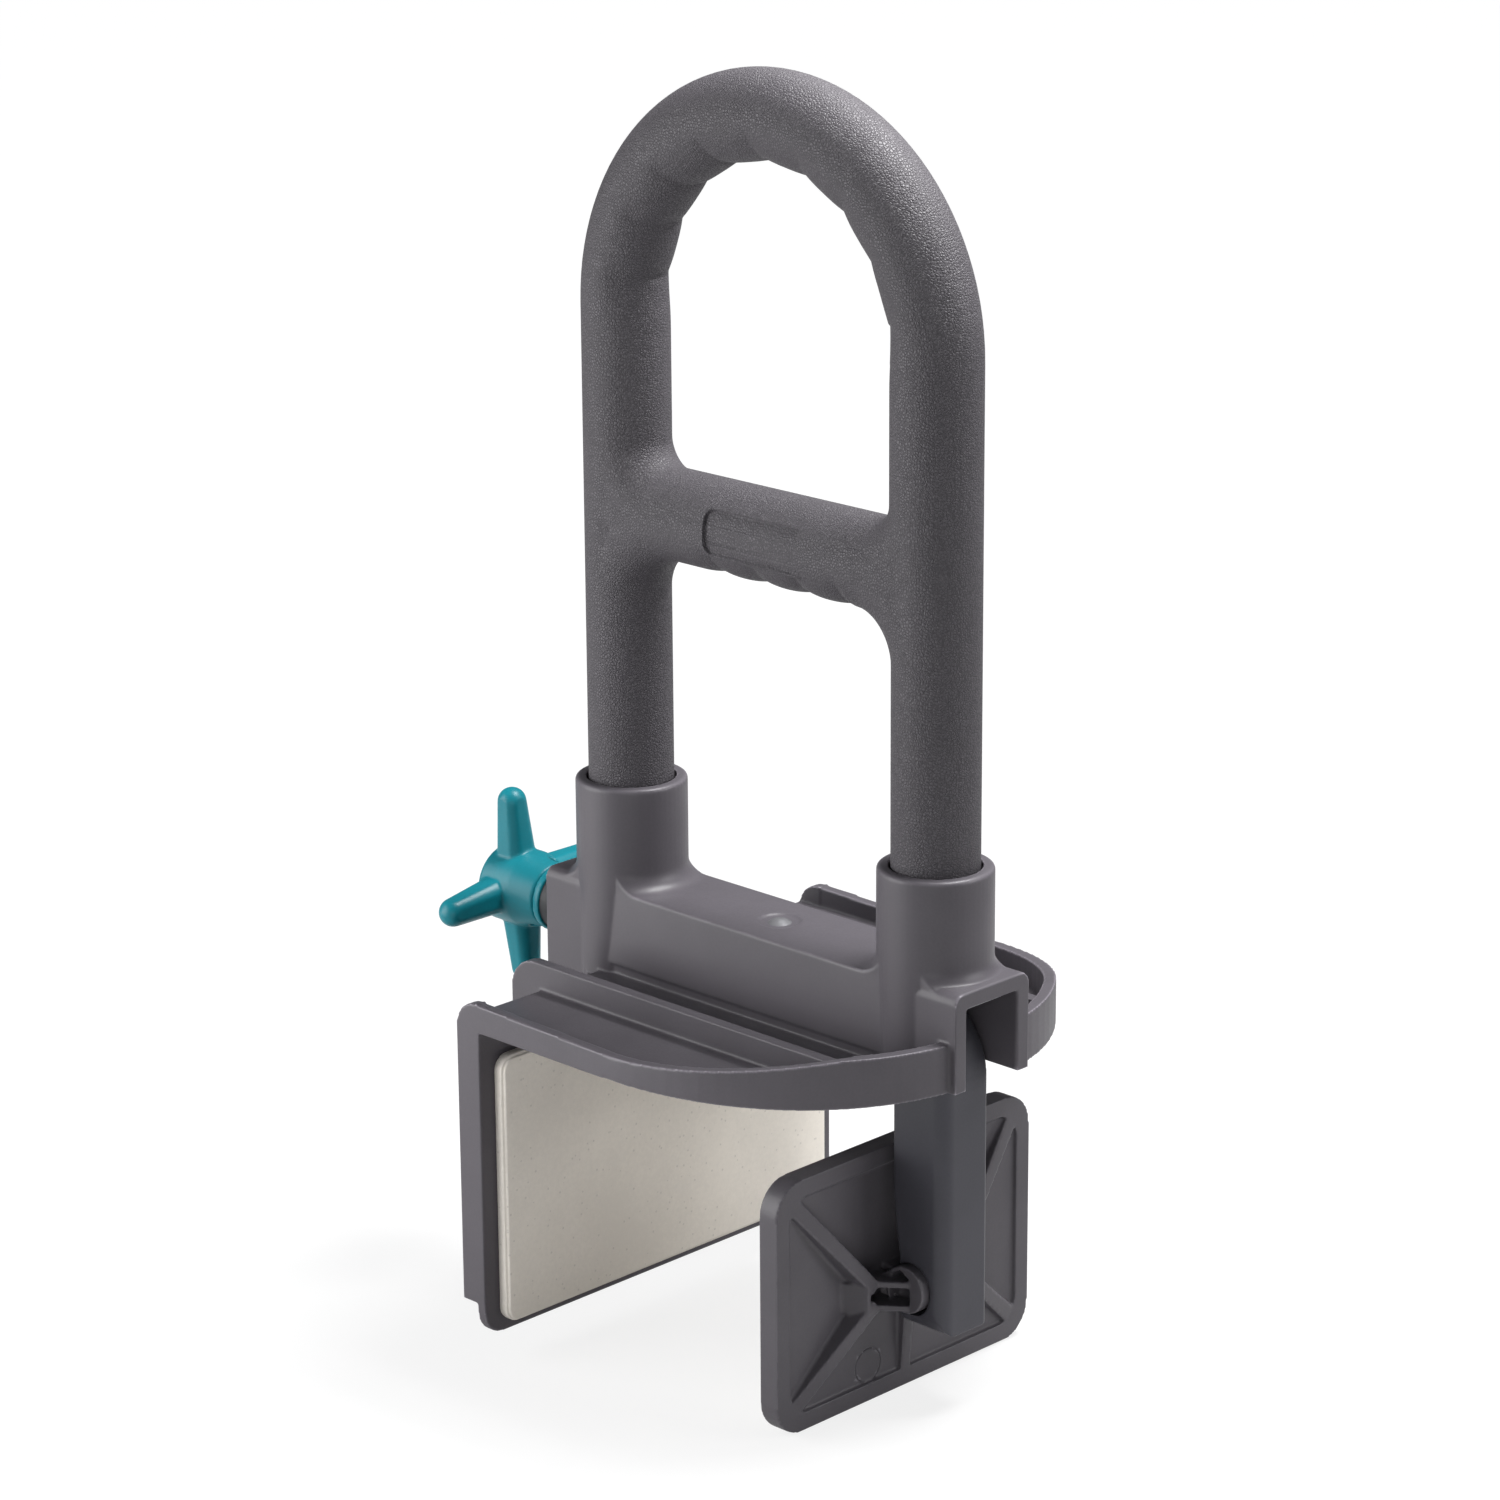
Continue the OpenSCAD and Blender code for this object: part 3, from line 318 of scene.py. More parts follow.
def flatten_faces(obj):
    """Joins the coplanar triangles of a copied mesh."""
    make_active(obj)
    bpy.ops.object.mode_set(mode="EDIT")
    bpy.ops.mesh.select_all(action="SELECT")
    bpy.ops.mesh.dissolve_limited(angle_limit=FLAT_ANGLE, use_dissolve_boundaries=False)
    bpy.ops.object.mode_set(mode="OBJECT")


def round_edges(obj, width):
    """Rounds every sharp edge, and shades the result smooth."""
    flatten_faces(obj)
    apply_modifier(
        obj, "BEVEL", "Rounded edges", width=width, segments=ROUND_STEPS, limit_method="ANGLE",
        angle_limit=ROUND_ANGLE, use_clamp_overlap=False, harden_normals=False,
        miter_outer="MITER_ARC", profile=0.5)
    make_active(obj)
    bpy.ops.object.shade_smooth_by_angle(angle=SHADE_ANGLE)


def blend_skin(obj, voxel, passes):
    """Turns overlapping shapes into one skin and relaxes it."""
    apply_modifier(
        obj, "REMESH", "One skin", mode="VOXEL", voxel_size=voxel, use_smooth_shade=True)
    apply_modifier(obj, "SMOOTH", "Relaxed", factor=0.5, iterations=passes)


def thin_out(obj, most):
    """Brings a mesh under a count of triangles."""
    count = sum(len(p.vertices) - 2 for p in obj.data.polygons)
    if count > most:
        apply_modifier(
            obj, "DECIMATE", "Thinned", decimate_type="COLLAPSE", ratio=most / count)
    make_active(obj)
    bpy.ops.object.shade_smooth()


def finish_piece(obj, body, slot, material, *nodes):
    """Gives a piece its material and body, and lets it stand for its CAD nodes. Its slot is not
    used.
    """
    obj.data.materials.clear()
    obj.data.materials.append(material)
    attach(obj, body)
    if nodes:
        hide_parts(*nodes)


def smooth_step(value, low, high):
    """Rises smoothly from nothing at the low value to one at the high value."""
    t = numpy.clip((value - low) / (high - low), 0.0, 1.0)
    return t * t * (3 - 2 * t)


def read_points(obj):
    """The places of a mesh's vertices, one row for each."""
    points = numpy.empty(len(obj.data.vertices) * 3)
    obj.data.vertices.foreach_get("co", points)
    return points.reshape(-1, 3)


def write_points(obj, points):
    """Moves a mesh's vertices to the given places."""
    obj.data.vertices.foreach_set("co", points.ravel())
    obj.data.update()


def split_faces(obj, inside, cuts):
    """Cuts the faces whose middles pass a test into smaller ones."""
    make_active(obj)
    middles = numpy.empty(len(obj.data.polygons) * 3)
    obj.data.polygons.foreach_get("center", middles)
    x, y, z = middles.reshape(-1, 3).T
    for parts in (obj.data.vertices, obj.data.edges):
        parts.foreach_set("select", numpy.zeros(len(parts), dtype=bool))
    obj.data.polygons.foreach_set("select", inside(x, y, z))
    bpy.ops.object.mode_set(mode="EDIT")
    bpy.ops.mesh.select_mode(type="FACE")
    bpy.ops.mesh.subdivide(number_cuts=cuts)
    bpy.ops.object.mode_set(mode="OBJECT")


def rounded_distance(across, up, half, corner):
    """Distance outside a rectangle with round corners, below zero inside it."""
    dx = numpy.abs(across) - half[0] + corner
    dz = numpy.abs(up) - half[1] + corner
    outside = numpy.hypot(numpy.maximum(dx, 0.0), numpy.maximum(dz, 0.0))
    return outside + numpy.minimum(numpy.maximum(dx, dz), 0.0) - corner


def crease(position):
    """One at each whole number, falling to nothing halfway between two."""
    return numpy.abs(2.0 * (position - numpy.floor(position)) - 1.0) ** CREASE_POWER


def arch_lobes(points, depth):
    """Lets the inside of the arch fall back at the creases between the finger lobes."""
    x, y, z = points.T
    turn = numpy.degrees(numpy.arctan2(z - ARCH_Z, x))
    low_right = smooth_step(-turn, *LOW_RIGHT_TURN)
    reach = numpy.hypot(x, z - ARCH_Z)
    section = numpy.hypot(reach - LEG_X, y)
    inward = (LEG_X - reach) / numpy.maximum(section, TINY)
    spread = smooth_step(inward, *CREASE_FADE)
    position = (turn - LOW_RIGHT_SHIFT * low_right - ARCH_FIRST) / ARCH_STEP
    amount = crease(position) * (1.0 - LOW_RIGHT_LOSS * low_right)
    # Past the last creases, measured along the arch's inner side and down the legs
    inner = LEG_X - GRIP_RADIUS
    past = numpy.maximum(-position, position - ARCH_LOBES) * math.radians(ARCH_STEP) * inner
    below = numpy.maximum(ARCH_Z - z, 0.0)
    past = numpy.where(z < ARCH_Z, math.radians(ARCH_FIRST) * inner + below, past)
    run_out = numpy.clip(1.0 - past / RUN_OUT, 0.0, 1.0) ** 2
    amount = numpy.where(past > 0.0, run_out, amount)
    amount *= spread * (section > GRIP_RADIUS - SKIN) * (z > ARCH_Z - RUN_OUT)
    shrink = 1.0 - amount * depth / numpy.maximum(section, TINY)
    scale = (LEG_X + (reach - LEG_X) * shrink) / numpy.maximum(reach, TINY)
    upper = z >= ARCH_Z
    leg_x = numpy.sign(x) * (LEG_X + (numpy.abs(x) - LEG_X) * shrink)
    points[:, 0] = numpy.where(upper, x * scale, leg_x)
    points[:, 2] = numpy.where(upper, ARCH_Z + (z - ARCH_Z) * scale, z)
    points[:, 1] = y * shrink


def bar_lobes(points, depth):
    """Lets the underside of the crossbar fall back at its creases."""
    x, y, z = points.T
    drop = BAR_Z - BAR_STRAIGHT - z
    section = numpy.hypot(drop, y)
    spread = smooth_step(drop / numpy.maximum(section, TINY), *CREASE_FADE)
    fade = smooth_step(-numpy.abs(x), -BAR_FADE[1] * BAR_STEP, -BAR_FADE[0] * BAR_STEP)
    amount = crease(x / BAR_STEP) * fade
    amount = numpy.where(x < -BAR_LEFT_END * BAR_STEP, 0.0, amount)
    amount *= spread * (section > GRIP_RADIUS - SKIN) * (section < GRIP_RADIUS + SKIN)
    shrink = 1.0 - amount * depth / numpy.maximum(section, TINY)
    points[:, 1] = y * shrink
    points[:, 2] = BAR_Z - BAR_STRAIGHT - drop * shrink


def panel_distance(x, z):
    """Distance outside the label panel, whose right end has square corners."""
    corner = numpy.where(x > PANEL_X, PANEL_SQUARE, PANEL_ROUND)
    return rounded_distance(x - PANEL_X, z - PANEL_Z, PANEL_HALF, corner)


def panel_zone(x, y, z):
    """Whether a place is on the label panel or in the margin round it."""
    return (panel_distance(x, z) < PANEL_MARGIN) & (y < PANEL_FRONT)


def sink_panel(points):
    """Presses the bare label panel into the front of the crossbar with a crisp edge."""
    x, y, z = points.T
    away = panel_distance(x, z)
    middle = BAR_Z + numpy.clip(z - BAR_Z, -BAR_STRAIGHT, BAR_STRAIGHT)
    section = numpy.hypot(y, z - middle)
    target = GRIP_RADIUS - PANEL_DEPTH * smooth_step(-away, *PANEL_WALL)
    target += (section - target) * smooth_step(away, *PANEL_BLEND)
    zone = panel_zone(x, y, z) & (section > GRIP_RADIUS - PANEL_SKIN)
    scale = numpy.where(zone, target / numpy.maximum(section, TINY), 1.0)
    points[:, 1] = y * scale
    points[:, 2] = middle + (z - middle) * scale


def round_corner(first, second, middle, radius):
    """Draws the points past a corner's centre in to its radius."""
    reach = numpy.hypot(first - middle[0], second - middle[1])
    past = (first > middle[0]) & (second > middle[1]) & (reach > radius)
    scale = numpy.where(past, radius / numpy.maximum(reach, TINY), 1.0)
    return middle[0] + (first - middle[0]) * scale, middle[1] + (second - middle[1]) * scale


def soften_arm(points):
    """Rounds the arm's near front edge and its near foot, and lets the foot end lower."""
    middle = (ARM_FRONT - ARM_EDGE_ROUND, ARM_HALF - ARM_EDGE_ROUND)
    x, y = round_corner(points[:, 0], -points[:, 1], middle, ARM_EDGE_ROUND)
    points[:, 0] = x
    middle = (ARM_HALF - ARM_FOOT_ROUND, -ARM_FOOT - ARM_FOOT_ROUND)
    y, z = round_corner(y, -points[:, 2], middle, ARM_FOOT_ROUND)
    points[:, 1] = -y
    stretch = smooth_step(z, -ARM_FOOT - ARM_FOOT_STRETCH, -ARM_FOOT)
    points[:, 2] = -z - ARM_FOOT_DROP * stretch


def lower_end(points):
    """Lets the knob's end wall reach down behind the near rib."""
    x, y, z = points.T
    amount = smooth_step(-x, -END_FROM, -END_FROM + END_FADE)
    amount *= smooth_step(-z, -END_STRETCH, 0.0)
    amount *= (numpy.abs(y) < END_HALF) & (z > END_UNDER)
    points[:, 2] = z - END_DROP * amount


def mark_zone(x, y, z):
    """Whether a place is on the mould mark's ring or in the margin beside it."""
    reach = numpy.hypot(y - MARK_Y, z - MARK_Z)
    return (numpy.abs(reach - MARK_RADIUS) < MARK_MARGIN) & (x > MARK_FRONT)


def sink_mark(points):
    """Presses the bare ring of the mould mark into the plate's lower field."""
    x, y, z = points.T
    reach = numpy.hypot(y - MARK_Y, z - MARK_Z)
    amount = smooth_step(-numpy.abs(reach - MARK_RADIUS), -MARK_HALF, 0.0)
    points[:, 0] = x - MARK_DEPTH * amount * (x > MARK_FRONT)


# ---------------------------------------------------------------- node groups


def new_group(name, inputs, outputs):
    """A shader node group with named float or colour sockets."""
    group = bpy.data.node_groups.new(name, "ShaderNodeTree")
    for label, kind, default in inputs:
        socket = group.interface.new_socket(name=label, in_out="INPUT", socket_type=kind)
        socket.default_value = default
    for label, kind in outputs:
        group.interface.new_socket(name=label, in_out="OUTPUT", socket_type=kind)
    start = group.nodes.new("NodeGroupInput")
    start.location = (-900, 0)
    end = group.nodes.new("NodeGroupOutput")
    end.location = (700, 0)
    return group, start, end


def add_node(tree, kind, place, **values):
    """A new node at a place of the node editor, with its own values set."""
    node = tree.nodes.new(kind)
    node.location = place
    for key, value in values.items():
        setattr(node, key, value)
    return node


def object_coords(tree, place):
    """The place on the object itself, so that a pattern stays with its piece."""
    return add_node(tree, "ShaderNodeTexCoord", place).outputs["Object"]


def math_node(tree, operation, place, *values):
    """A Math node's result, from numbers or other nodes' outputs in its sockets' order."""
    node = add_node(tree, "ShaderNodeMath", place, operation=operation)
    for index, value in enumerate(values):
        if isinstance(value, (int, float)):
            node.inputs[index].default_value = value
        else:
            tree.links.new(value, node.inputs[index])
    return node.outputs[0]


def noise_node(tree, place, vector, detail, scale=1.0, roughness=0.5):
    """An even noise; its scale can be linked afterwards."""
    node = add_node(tree, "ShaderNodeTexNoise", place)
    tree.links.new(vector, node.inputs["Vector"])
    node.inputs["Detail"].default_value = detail
    node.inputs["Scale"].default_value = scale
    node.inputs["Roughness"].default_value = roughness
    return node


def ramp_node(tree, place, source, low, high):
    """Rises smoothly from nothing at the low value to one at the high value."""
    node = add_node(tree, "ShaderNodeMapRange", place, interpolation_type="SMOOTHSTEP")
    tree.links.new(source, node.inputs["Value"])
    node.inputs["From Min"].default_value = low
    node.inputs["From Max"].default_value = high
    return node.outputs["Result"]


def pebble_group():
    """Leather-like grain: small rounded cells of uneven size with fine creases."""
    group, start, end = new_group(
        "Pebbled Grain",
        [("Cells per Metre", "NodeSocketFloat", 700.0)],
        [("Height", "NodeSocketFloat"), ("Crease", "NodeSocketFloat")])
    links = group.links
    coords = object_coords(group, (-900, -200))
    # The coordinates are stirred a little, so that the cells aren't straight-sided
    stir = noise_node(group, (-700, -300), coords, detail=2.0, scale=160.0)
    shift = add_node(group, "ShaderNodeMix", (-500, -200), data_type="VECTOR")
    shift.inputs["Factor"].default_value = 0.0016
    links.new(coords, shift.inputs[VECTOR_A])
    links.new(stir.outputs["Color"], shift.inputs[VECTOR_B])
    cells = add_node(group, "ShaderNodeTexVoronoi", (-300, 0), feature="DISTANCE_TO_EDGE")
    links.new(shift.outputs[VECTOR_OUT], cells.inputs["Vector"])
    links.new(start.outputs["Cells per Metre"], cells.inputs["Scale"])
    cells.inputs["Randomness"].default_value = 0.85
    pebble = ramp_node(group, (-100, 0), cells.outputs["Distance"], low=0.0, high=0.26)
    fine = noise_node(group, (-300, -300), coords, detail=3.0, scale=2400.0)
    grit = math_node(group, "MULTIPLY", (-100, -300), fine.outputs["Fac"], 0.35)
    height = math_node(group, "ADD", (100, 0), pebble, grit)
    links.new(height, end.inputs["Height"])
    links.new(pebble, end.inputs["Crease"])
    return group


def mottle_group():
    """Uneven tone of a moulded plastic, broad and fine together."""
    group, start, end = new_group(
        "Moulded Mottle",
        [("Broad Scale", "NodeSocketFloat", 40.0), ("Fine Scale", "NodeSocketFloat", 900.0)],
        [("Tone", "NodeSocketFloat"), ("Grit", "NodeSocketFloat")])
    links = group.links
    coords = object_coords(group, (-900, -200))
    broad = noise_node(group, (-500, 100), coords, detail=3.0)
    fine = noise_node(group, (-500, -200), coords, detail=4.0, roughness=0.65)
    links.new(start.outputs["Broad Scale"], broad.inputs["Scale"])
    links.new(start.outputs["Fine Scale"], fine.inputs["Scale"])
    broad_part = math_node(group, "MULTIPLY", (-250, 100), broad.outputs["Fac"], 0.6)
    fine_part = math_node(group, "MULTIPLY", (-250, -200), fine.outputs["Fac"], 0.4)
    tone = math_node(group, "ADD", (0, 0), broad_part, fine_part)
    links.new(ramp_node(group, (250, 0), tone, low=0.3, high=0.7), end.inputs["Tone"])
    links.new(fine.outputs["Fac"], end.inputs["Grit"])
    return group


def speck_group():
    """Sparse small specks, as in a cast rubber."""
    group, start, end = new_group(
        "Fine Specks",
        [("Specks per Metre", "NodeSocketFloat", 420.0), ("Size", "NodeSocketFloat", 0.16)],
        [("Mask", "NodeSocketFloat")])
    links = group.links
    cells = add_node(group, "ShaderNodeTexVoronoi", (-500, 0), feature="F1")
    links.new(object_coords(group, (-900, -200)), cells.inputs["Vector"])
    links.new(start.outputs["Specks per Metre"], cells.inputs["Scale"])
    near = math_node(
        group, "LESS_THAN", (-250, 0), cells.outputs["Distance"], start.outputs["Size"])
    pick = add_node(group, "ShaderNodeSeparateColor", (-250, -250))
    links.new(cells.outputs["Color"], pick.inputs["Color"])
    rare = math_node(group, "GREATER_THAN", (0, -250), pick.outputs["Red"], 0.72)
    links.new(math_node(group, "MULTIPLY", (250, 0), near, rare), end.inputs["Mask"])
    return group


def edge_highlight_group():
    """Where an edge stands out, so that a painted highlight can make it paler."""
    group, start, end = new_group(
        "Painted Edge Highlights",
        [("Low", "NodeSocketFloat", 0.52), ("High", "NodeSocketFloat", 0.62)],
        [("Mask", "NodeSocketFloat")])
    links = group.links
    geometry = add_node(group, "ShaderNodeNewGeometry", (-600, 0))
    node = add_node(group, "ShaderNodeMapRange", (-300, 0), interpolation_type="SMOOTHSTEP")
    links.new(geometry.outputs["Pointiness"], node.inputs["Value"])
    links.new(start.outputs["Low"], node.inputs["From Min"])
    links.new(start.outputs["High"], node.inputs["From Max"])
    links.new(node.outputs["Result"], end.inputs["Mask"])
    return group


GROUPS = {}


def group_named(name, maker):
    """A node group that is made once and shared."""
    if name not in GROUPS:
        GROUPS[name] = maker()
    return GROUPS[name]


def place_group(tree, group, place, **values):
    """A node of a group. The values are named as its sockets, with underscores."""
    node = add_node(tree, "ShaderNodeGroup", place, node_tree=group)
    for key, value in values.items():
        node.inputs[key.replace("_", " ")].default_value = value
    return node


# ---------------------------------------------------------------- materials


def new_material(name, colour, roughness, metallic=0.0, specular=0.5):
    """A material with its Principled shader, and the plain colour for the viewport."""
    material = bpy.data.materials.new(name)
    material.use_nodes = True
    shader = material.node_tree.nodes["Principled BSDF"]
    shader.inputs["Base Color"].default_value = (*colour, 1.0)
    shader.inputs["Roughness"].default_value = roughness
    shader.inputs["Metallic"].default_value = metallic
    shader.inputs["Specular IOR Level"].default_value = specular
    material.diffuse_color = (*colour, 1.0)
    return material, shader


def mixed_colour(tree, place, mask, first, second):
    """A mix of two colours, or of other nodes' colours, from the first to the second."""
    node = add_node(tree, "ShaderNodeMix", place, data_type="RGBA")
    for index, colour in ((COLOUR_A, first), (COLOUR_B, second)):
        if isinstance(colour, tuple):
            node.inputs[index].default_value = (*colour, 1.0)
        else:
            tree.links.new(colour, node.inputs[index])
    tree.links.new(mask, node.inputs["Factor"])
    return node.outputs[COLOUR_OUT]


def scaled(colour, factor):
    """A colour made darker or lighter."""
    return tuple(min(c * factor, 1.0) for c in colour)


def add_roughness(tree, shader, place, mask, first, second):
    """Lets a shader's roughness go from the first to the second value by a mask."""
    node = add_node(tree, "ShaderNodeMapRange", place)
    node.inputs["To Min"].default_value = first
    node.inputs["To Max"].default_value = second
    tree.links.new(mask, node.inputs["Value"])
    tree.links.new(node.outputs["Result"], shader.inputs["Roughness"])


def add_bump(tree, shader, height, strength, distance):
    """Gives a shader the relief of a height."""
    bump = add_node(tree, "ShaderNodeBump", (-300, -400))
    bump.inputs["Strength"].default_value = strength
    bump.inputs["Distance"].default_value = distance
    tree.links.new(height, bump.inputs["Height"])
    tree.links.new(bump.outputs["Normal"], shader.inputs["Normal"])


def grip_rubber(colour, grain_size):
    """Soft rubber with a leather-like grain, with painted shade that makes its creases darker than
    its pebbles.
    """
    material, shader = new_material("Grip Rubber", colour, roughness=0.6, specular=0.42)
    tree = material.node_tree
    grain = place_group(tree, group_named("Pebbled Grain", pebble_group), (-900, 0),
                        Cells_per_Metre=1.0 / grain_size)
    mottle = place_group(tree, group_named("Moulded Mottle", mottle_group), (-900, 300),
                         Broad_Scale=26.0, Fine_Scale=700.0)
    base = mixed_colour(tree, (-600, 300), mottle.outputs["Tone"],
                        scaled(colour, 0.9), scaled(colour, 1.12))
    # Painted shade: the creases between the pebbles are darker.
    crease_shaded_colour = mixed_colour(tree, (-300, 200), grain.outputs["Crease"], scaled(colour, 0.72), base)
    tree.links.new(crease_shaded_colour, shader.inputs["Base Color"])
    add_roughness(tree, shader, (-300, -100), grain.outputs["Crease"],
                  first=0.66, second=0.48)
    add_bump(tree, shader, grain.outputs["Height"], strength=0.7, distance=0.0003)
    return material


def satin_plastic(name, colour, roughness, edge_highlight_gain, grit_depth=0.00004):
    """Moulded satin plastic with uneven tone, a fine grit and edges made paler by a painted
    highlight.
    """
    material, shader = new_material(name, colour, roughness, specular=0.3)
    tree = material.node_tree
    mottle = place_group(tree, group_named("Moulded Mottle", mottle_group), (-900, 200),
                         Broad_Scale=34.0, Fine_Scale=1100.0)
    base = mixed_colour(tree, (-600, 200), mottle.outputs["Tone"],
                        scaled(colour, 0.93), scaled(colour, 1.07))
    edges = place_group(tree, group_named("Painted Edge Highlights", edge_highlight_group), (-900, -100),
                        Low=0.51, High=0.60)
    # Painted highlight: the edges are made paler by the edge gain, in place of light caught on
    # them.
    painted_highlight_colour = mixed_colour(tree, (-300, 200), edges.outputs["Mask"], base, scaled(colour, edge_highlight_gain))
    tree.links.new(painted_highlight_colour, shader.inputs["Base Color"])
    add_roughness(tree, shader, (-300, -100), mottle.outputs["Tone"],
                  first=roughness + 0.05, second=roughness - 0.05)
    add_bump(tree, shader, mottle.outputs["Grit"], strength=0.5, distance=grit_depth)
    return material


def pad_rubber(colour):
    """Cream rubber with faint grey and brown specks."""
    material, shader = new_material("Pad Rubber", colour, roughness=0.7, specular=0.35)
    tree = material.node_tree
    mottle = place_group(tree, group_named("Moulded Mottle", mottle_group), (-900, 200),
                         Broad_Scale=22.0, Fine_Scale=600.0)
    base = mixed_colour(tree, (-600, 200), mottle.outputs["Tone"],
                        scaled(colour, 0.93), scaled(colour, 1.05))
    specks = place_group(tree, group_named("Fine Specks", speck_group), (-900, -100),
                         Specks_per_Metre=330.0, Size=0.15)
    faint = math_node(tree, "MULTIPLY", (-600, -100), specks.outputs["Mask"], 0.35)
    spotted = mixed_colour(tree, (-300, 200), faint, base, scaled(colour, 0.55))
    tree.links.new(spotted, shader.inputs["Base Color"])
    add_bump(tree, shader, mottle.outputs["Grit"], strength=0.4, distance=0.00006)
    return material


def brushed_metal(name, colour, roughness, lines):
    """Turned or drawn metal with fine lines."""
    material, shader = new_material(name, colour, roughness, metallic=1.0)
    tree = material.node_tree
    mapping = add_node(tree, "ShaderNodeMapping", (-1000, 0))
    mapping.inputs["Scale"].default_value = lines
    tree.links.new(object_coords(tree, (-1200, 0)), mapping.inputs["Vector"])
    noise = noise_node(tree, (-800, 0), mapping.outputs["Vector"], detail=3.0)
    base = mixed_colour(tree, (-500, 200), noise.outputs["Fac"],
                        scaled(colour, 0.8), scaled(colour, 1.1))
    tree.links.new(base, shader.inputs["Base Color"])
    add_roughness(tree, shader, (-500, -100), noise.outputs["Fac"],
                  first=roughness + 0.1, second=roughness - 0.06)
    add_bump(tree, shader, noise.outputs["Fac"], strength=0.3, distance=0.00003)
    return material


# ---------------------------------------------------------------- pieces


class GRABBAR_OT_grip(bpy.types.Operator):
    """Makes the pebbled rubber grip, with its finger lobes and bare label panel"""
    bl_idname = "grabbar.grip"
    bl_label = "Hoop grip"

    def execute(self, context):
        s = settings("grab_grip")
        grip = copy_of_node("handle_grip", "hoop_grip")
        blend_skin(grip, s.voxel, passes=6)
        split_faces(grip, panel_zone, cuts=2)
        points = read_points(grip)
        arch_lobes(points, s.lobe_depth)
        bar_lobes(points, s.lobe_depth)
        sink_panel(points)
        write_points(grip, points)
        thin_out(grip, GRIP_TRIANGLES)
        finish_piece(grip, "saddle", "grip", grip_rubber(s.colour, s.grain_size), "handle_grip")
        return {"FINISHED"}


class GRABBAR_OT_saddle(bpy.types.Operator):
    """Makes the moulded saddle with rounded edges and a deep end wall at the knob"""
    bl_idname = "grabbar.saddle"
    bl_label = "Moulded saddle"

    def execute(self, context):
        s = settings("grab_saddle")
        saddle = copy_of_node("saddle_base", "moulded_saddle")
        blend_skin(saddle, s.voxel, passes=3)
        points = read_points(saddle)
        lower_end(points)
        write_points(saddle, points)
        thin_out(saddle, SADDLE_TRIANGLES)
        plastic = satin_plastic("Saddle Plastic", s.colour, roughness=0.4, edge_highlight_gain=4.0)
        finish_piece(saddle, "saddle", "saddle_plastic", plastic, "saddle_base")
        return {"FINISHED"}


class GRABBAR_OT_knob(bpy.types.Operator):
    """Makes the cross knob, its arms blended into the hub"""
    bl_idname = "grabbar.knob"
    bl_label = "Cross knob"

    def execute(self, context):
        s = settings("grab_knob")
        knob = copy_of_node("clamp_knob", "cross_knob")
        blend_skin(knob, s.voxel, passes=5)
        thin_out(knob, KNOB_TRIANGLES)
        plastic = satin_plastic("Knob Plastic", s.colour, roughness=0.38, edge_highlight_gain=1.25)
        finish_piece(knob, "screw", "knob_plastic", plastic, "clamp_knob")
        return {"FINISHED"}


class GRABBAR_OT_jaw(bpy.types.Operator):
    """Makes the swivel plate and the coated sliding arm"""
    bl_idname = "grabbar.jaw"
    bl_label = "Swivel plate and arm"

    def execute(self, context):
        s = settings("grab_jaw")
        plate = copy_of_node("swivel_plate", "swivel_jaw_plate")
        blend_skin(plate, s.voxel, passes=3)
        split_faces(plate, mark_zone, cuts=2)
        points = read_points(plate)
        sink_mark(points)
        write_points(plate, points)
        thin_out(plate, PLATE_TRIANGLES)
        plastic = satin_plastic("Jaw Plastic", s.plate_colour, roughness=0.4, edge_highlight_gain=2.0)
        finish_piece(plate, "jaw", "jaw_plastic", plastic, "swivel_plate")
        arm = copy_of_node("slide_arm", "coated_arm")
        blend_skin(arm, s.voxel, passes=3)
        points = read_points(arm)
        soften_arm(points)
        write_points(arm, points)
        thin_out(arm, ARM_TRIANGLES)
        coating = satin_plastic("Arm Coating", s.arm_colour, roughness=0.4, edge_highlight_gain=1.2,
                                grit_depth=0.00003)
        finish_piece(arm, "arm", "arm_coating", coating, "slide_arm")
        return {"FINISHED"}


class GRABBAR_OT_pads(bpy.types.Operator):
    """Makes the two rubber pads"""
    bl_idname = "grabbar.pads"
    bl_label = "Rubber pads"

    def execute(self, context):
        s = settings("grab_jaw")
        rubber = pad_rubber(s.pad_colour)
        for node, name, body in (("fixed_jaw_pad", "fixed_pad", "saddle"),
                                 ("swivel_jaw_pad", "swivel_pad", "jaw")):
            pad = copy_of_node(node, name)
            round_edges(pad, PAD_ROUND)
            finish_piece(pad, body, "pad_rubber", rubber, node)
        return {"FINISHED"}


class GRABBAR_OT_fittings(bpy.types.Operator):
    """Gives the screws, rings, strip and core their metal and plastic finishes"""
    bl_idname = "grabbar.fittings"
    bl_label = "Fittings"

    def execute(self, context):
        steel = brushed_metal("Brushed Steel", STEEL_COLOUR, roughness=0.34, lines=DRAWN_LINES)
        zinc = brushed_metal("Plated Steel", ZINC_COLOUR, roughness=0.28, lines=TURNED_LINES)
        rivet = brushed_metal("Dull Rivet", RIVET_COLOUR, roughness=0.7, lines=TURNED_LINES)
        dark = satin_plastic("Dark Plastic", DARK_COLOUR, roughness=0.5, edge_highlight_gain=1.3)
        finishes = {
            steel: ("steel_core", "wear_strip", "keeper_plate", "thrust_washer", "end_washer",
                    "retaining_ring", "knob_pin"),
            zinc: ("leg_screws", "leg_washers", "keeper_screws", "clamp_screw", "square_nut"),
            rivet: ("strip_rivet",),
            dark: ("leg_plug_left", "leg_plug_right", "screw_bushing", "spacer_collar"),
        }
        for material, nodes in finishes.items():
            for node in nodes:
                for slot in NODES[node].material_slots:
                    slot.material = material
        return {"FINISHED"}


# ---------------------------------------------------------------- stage


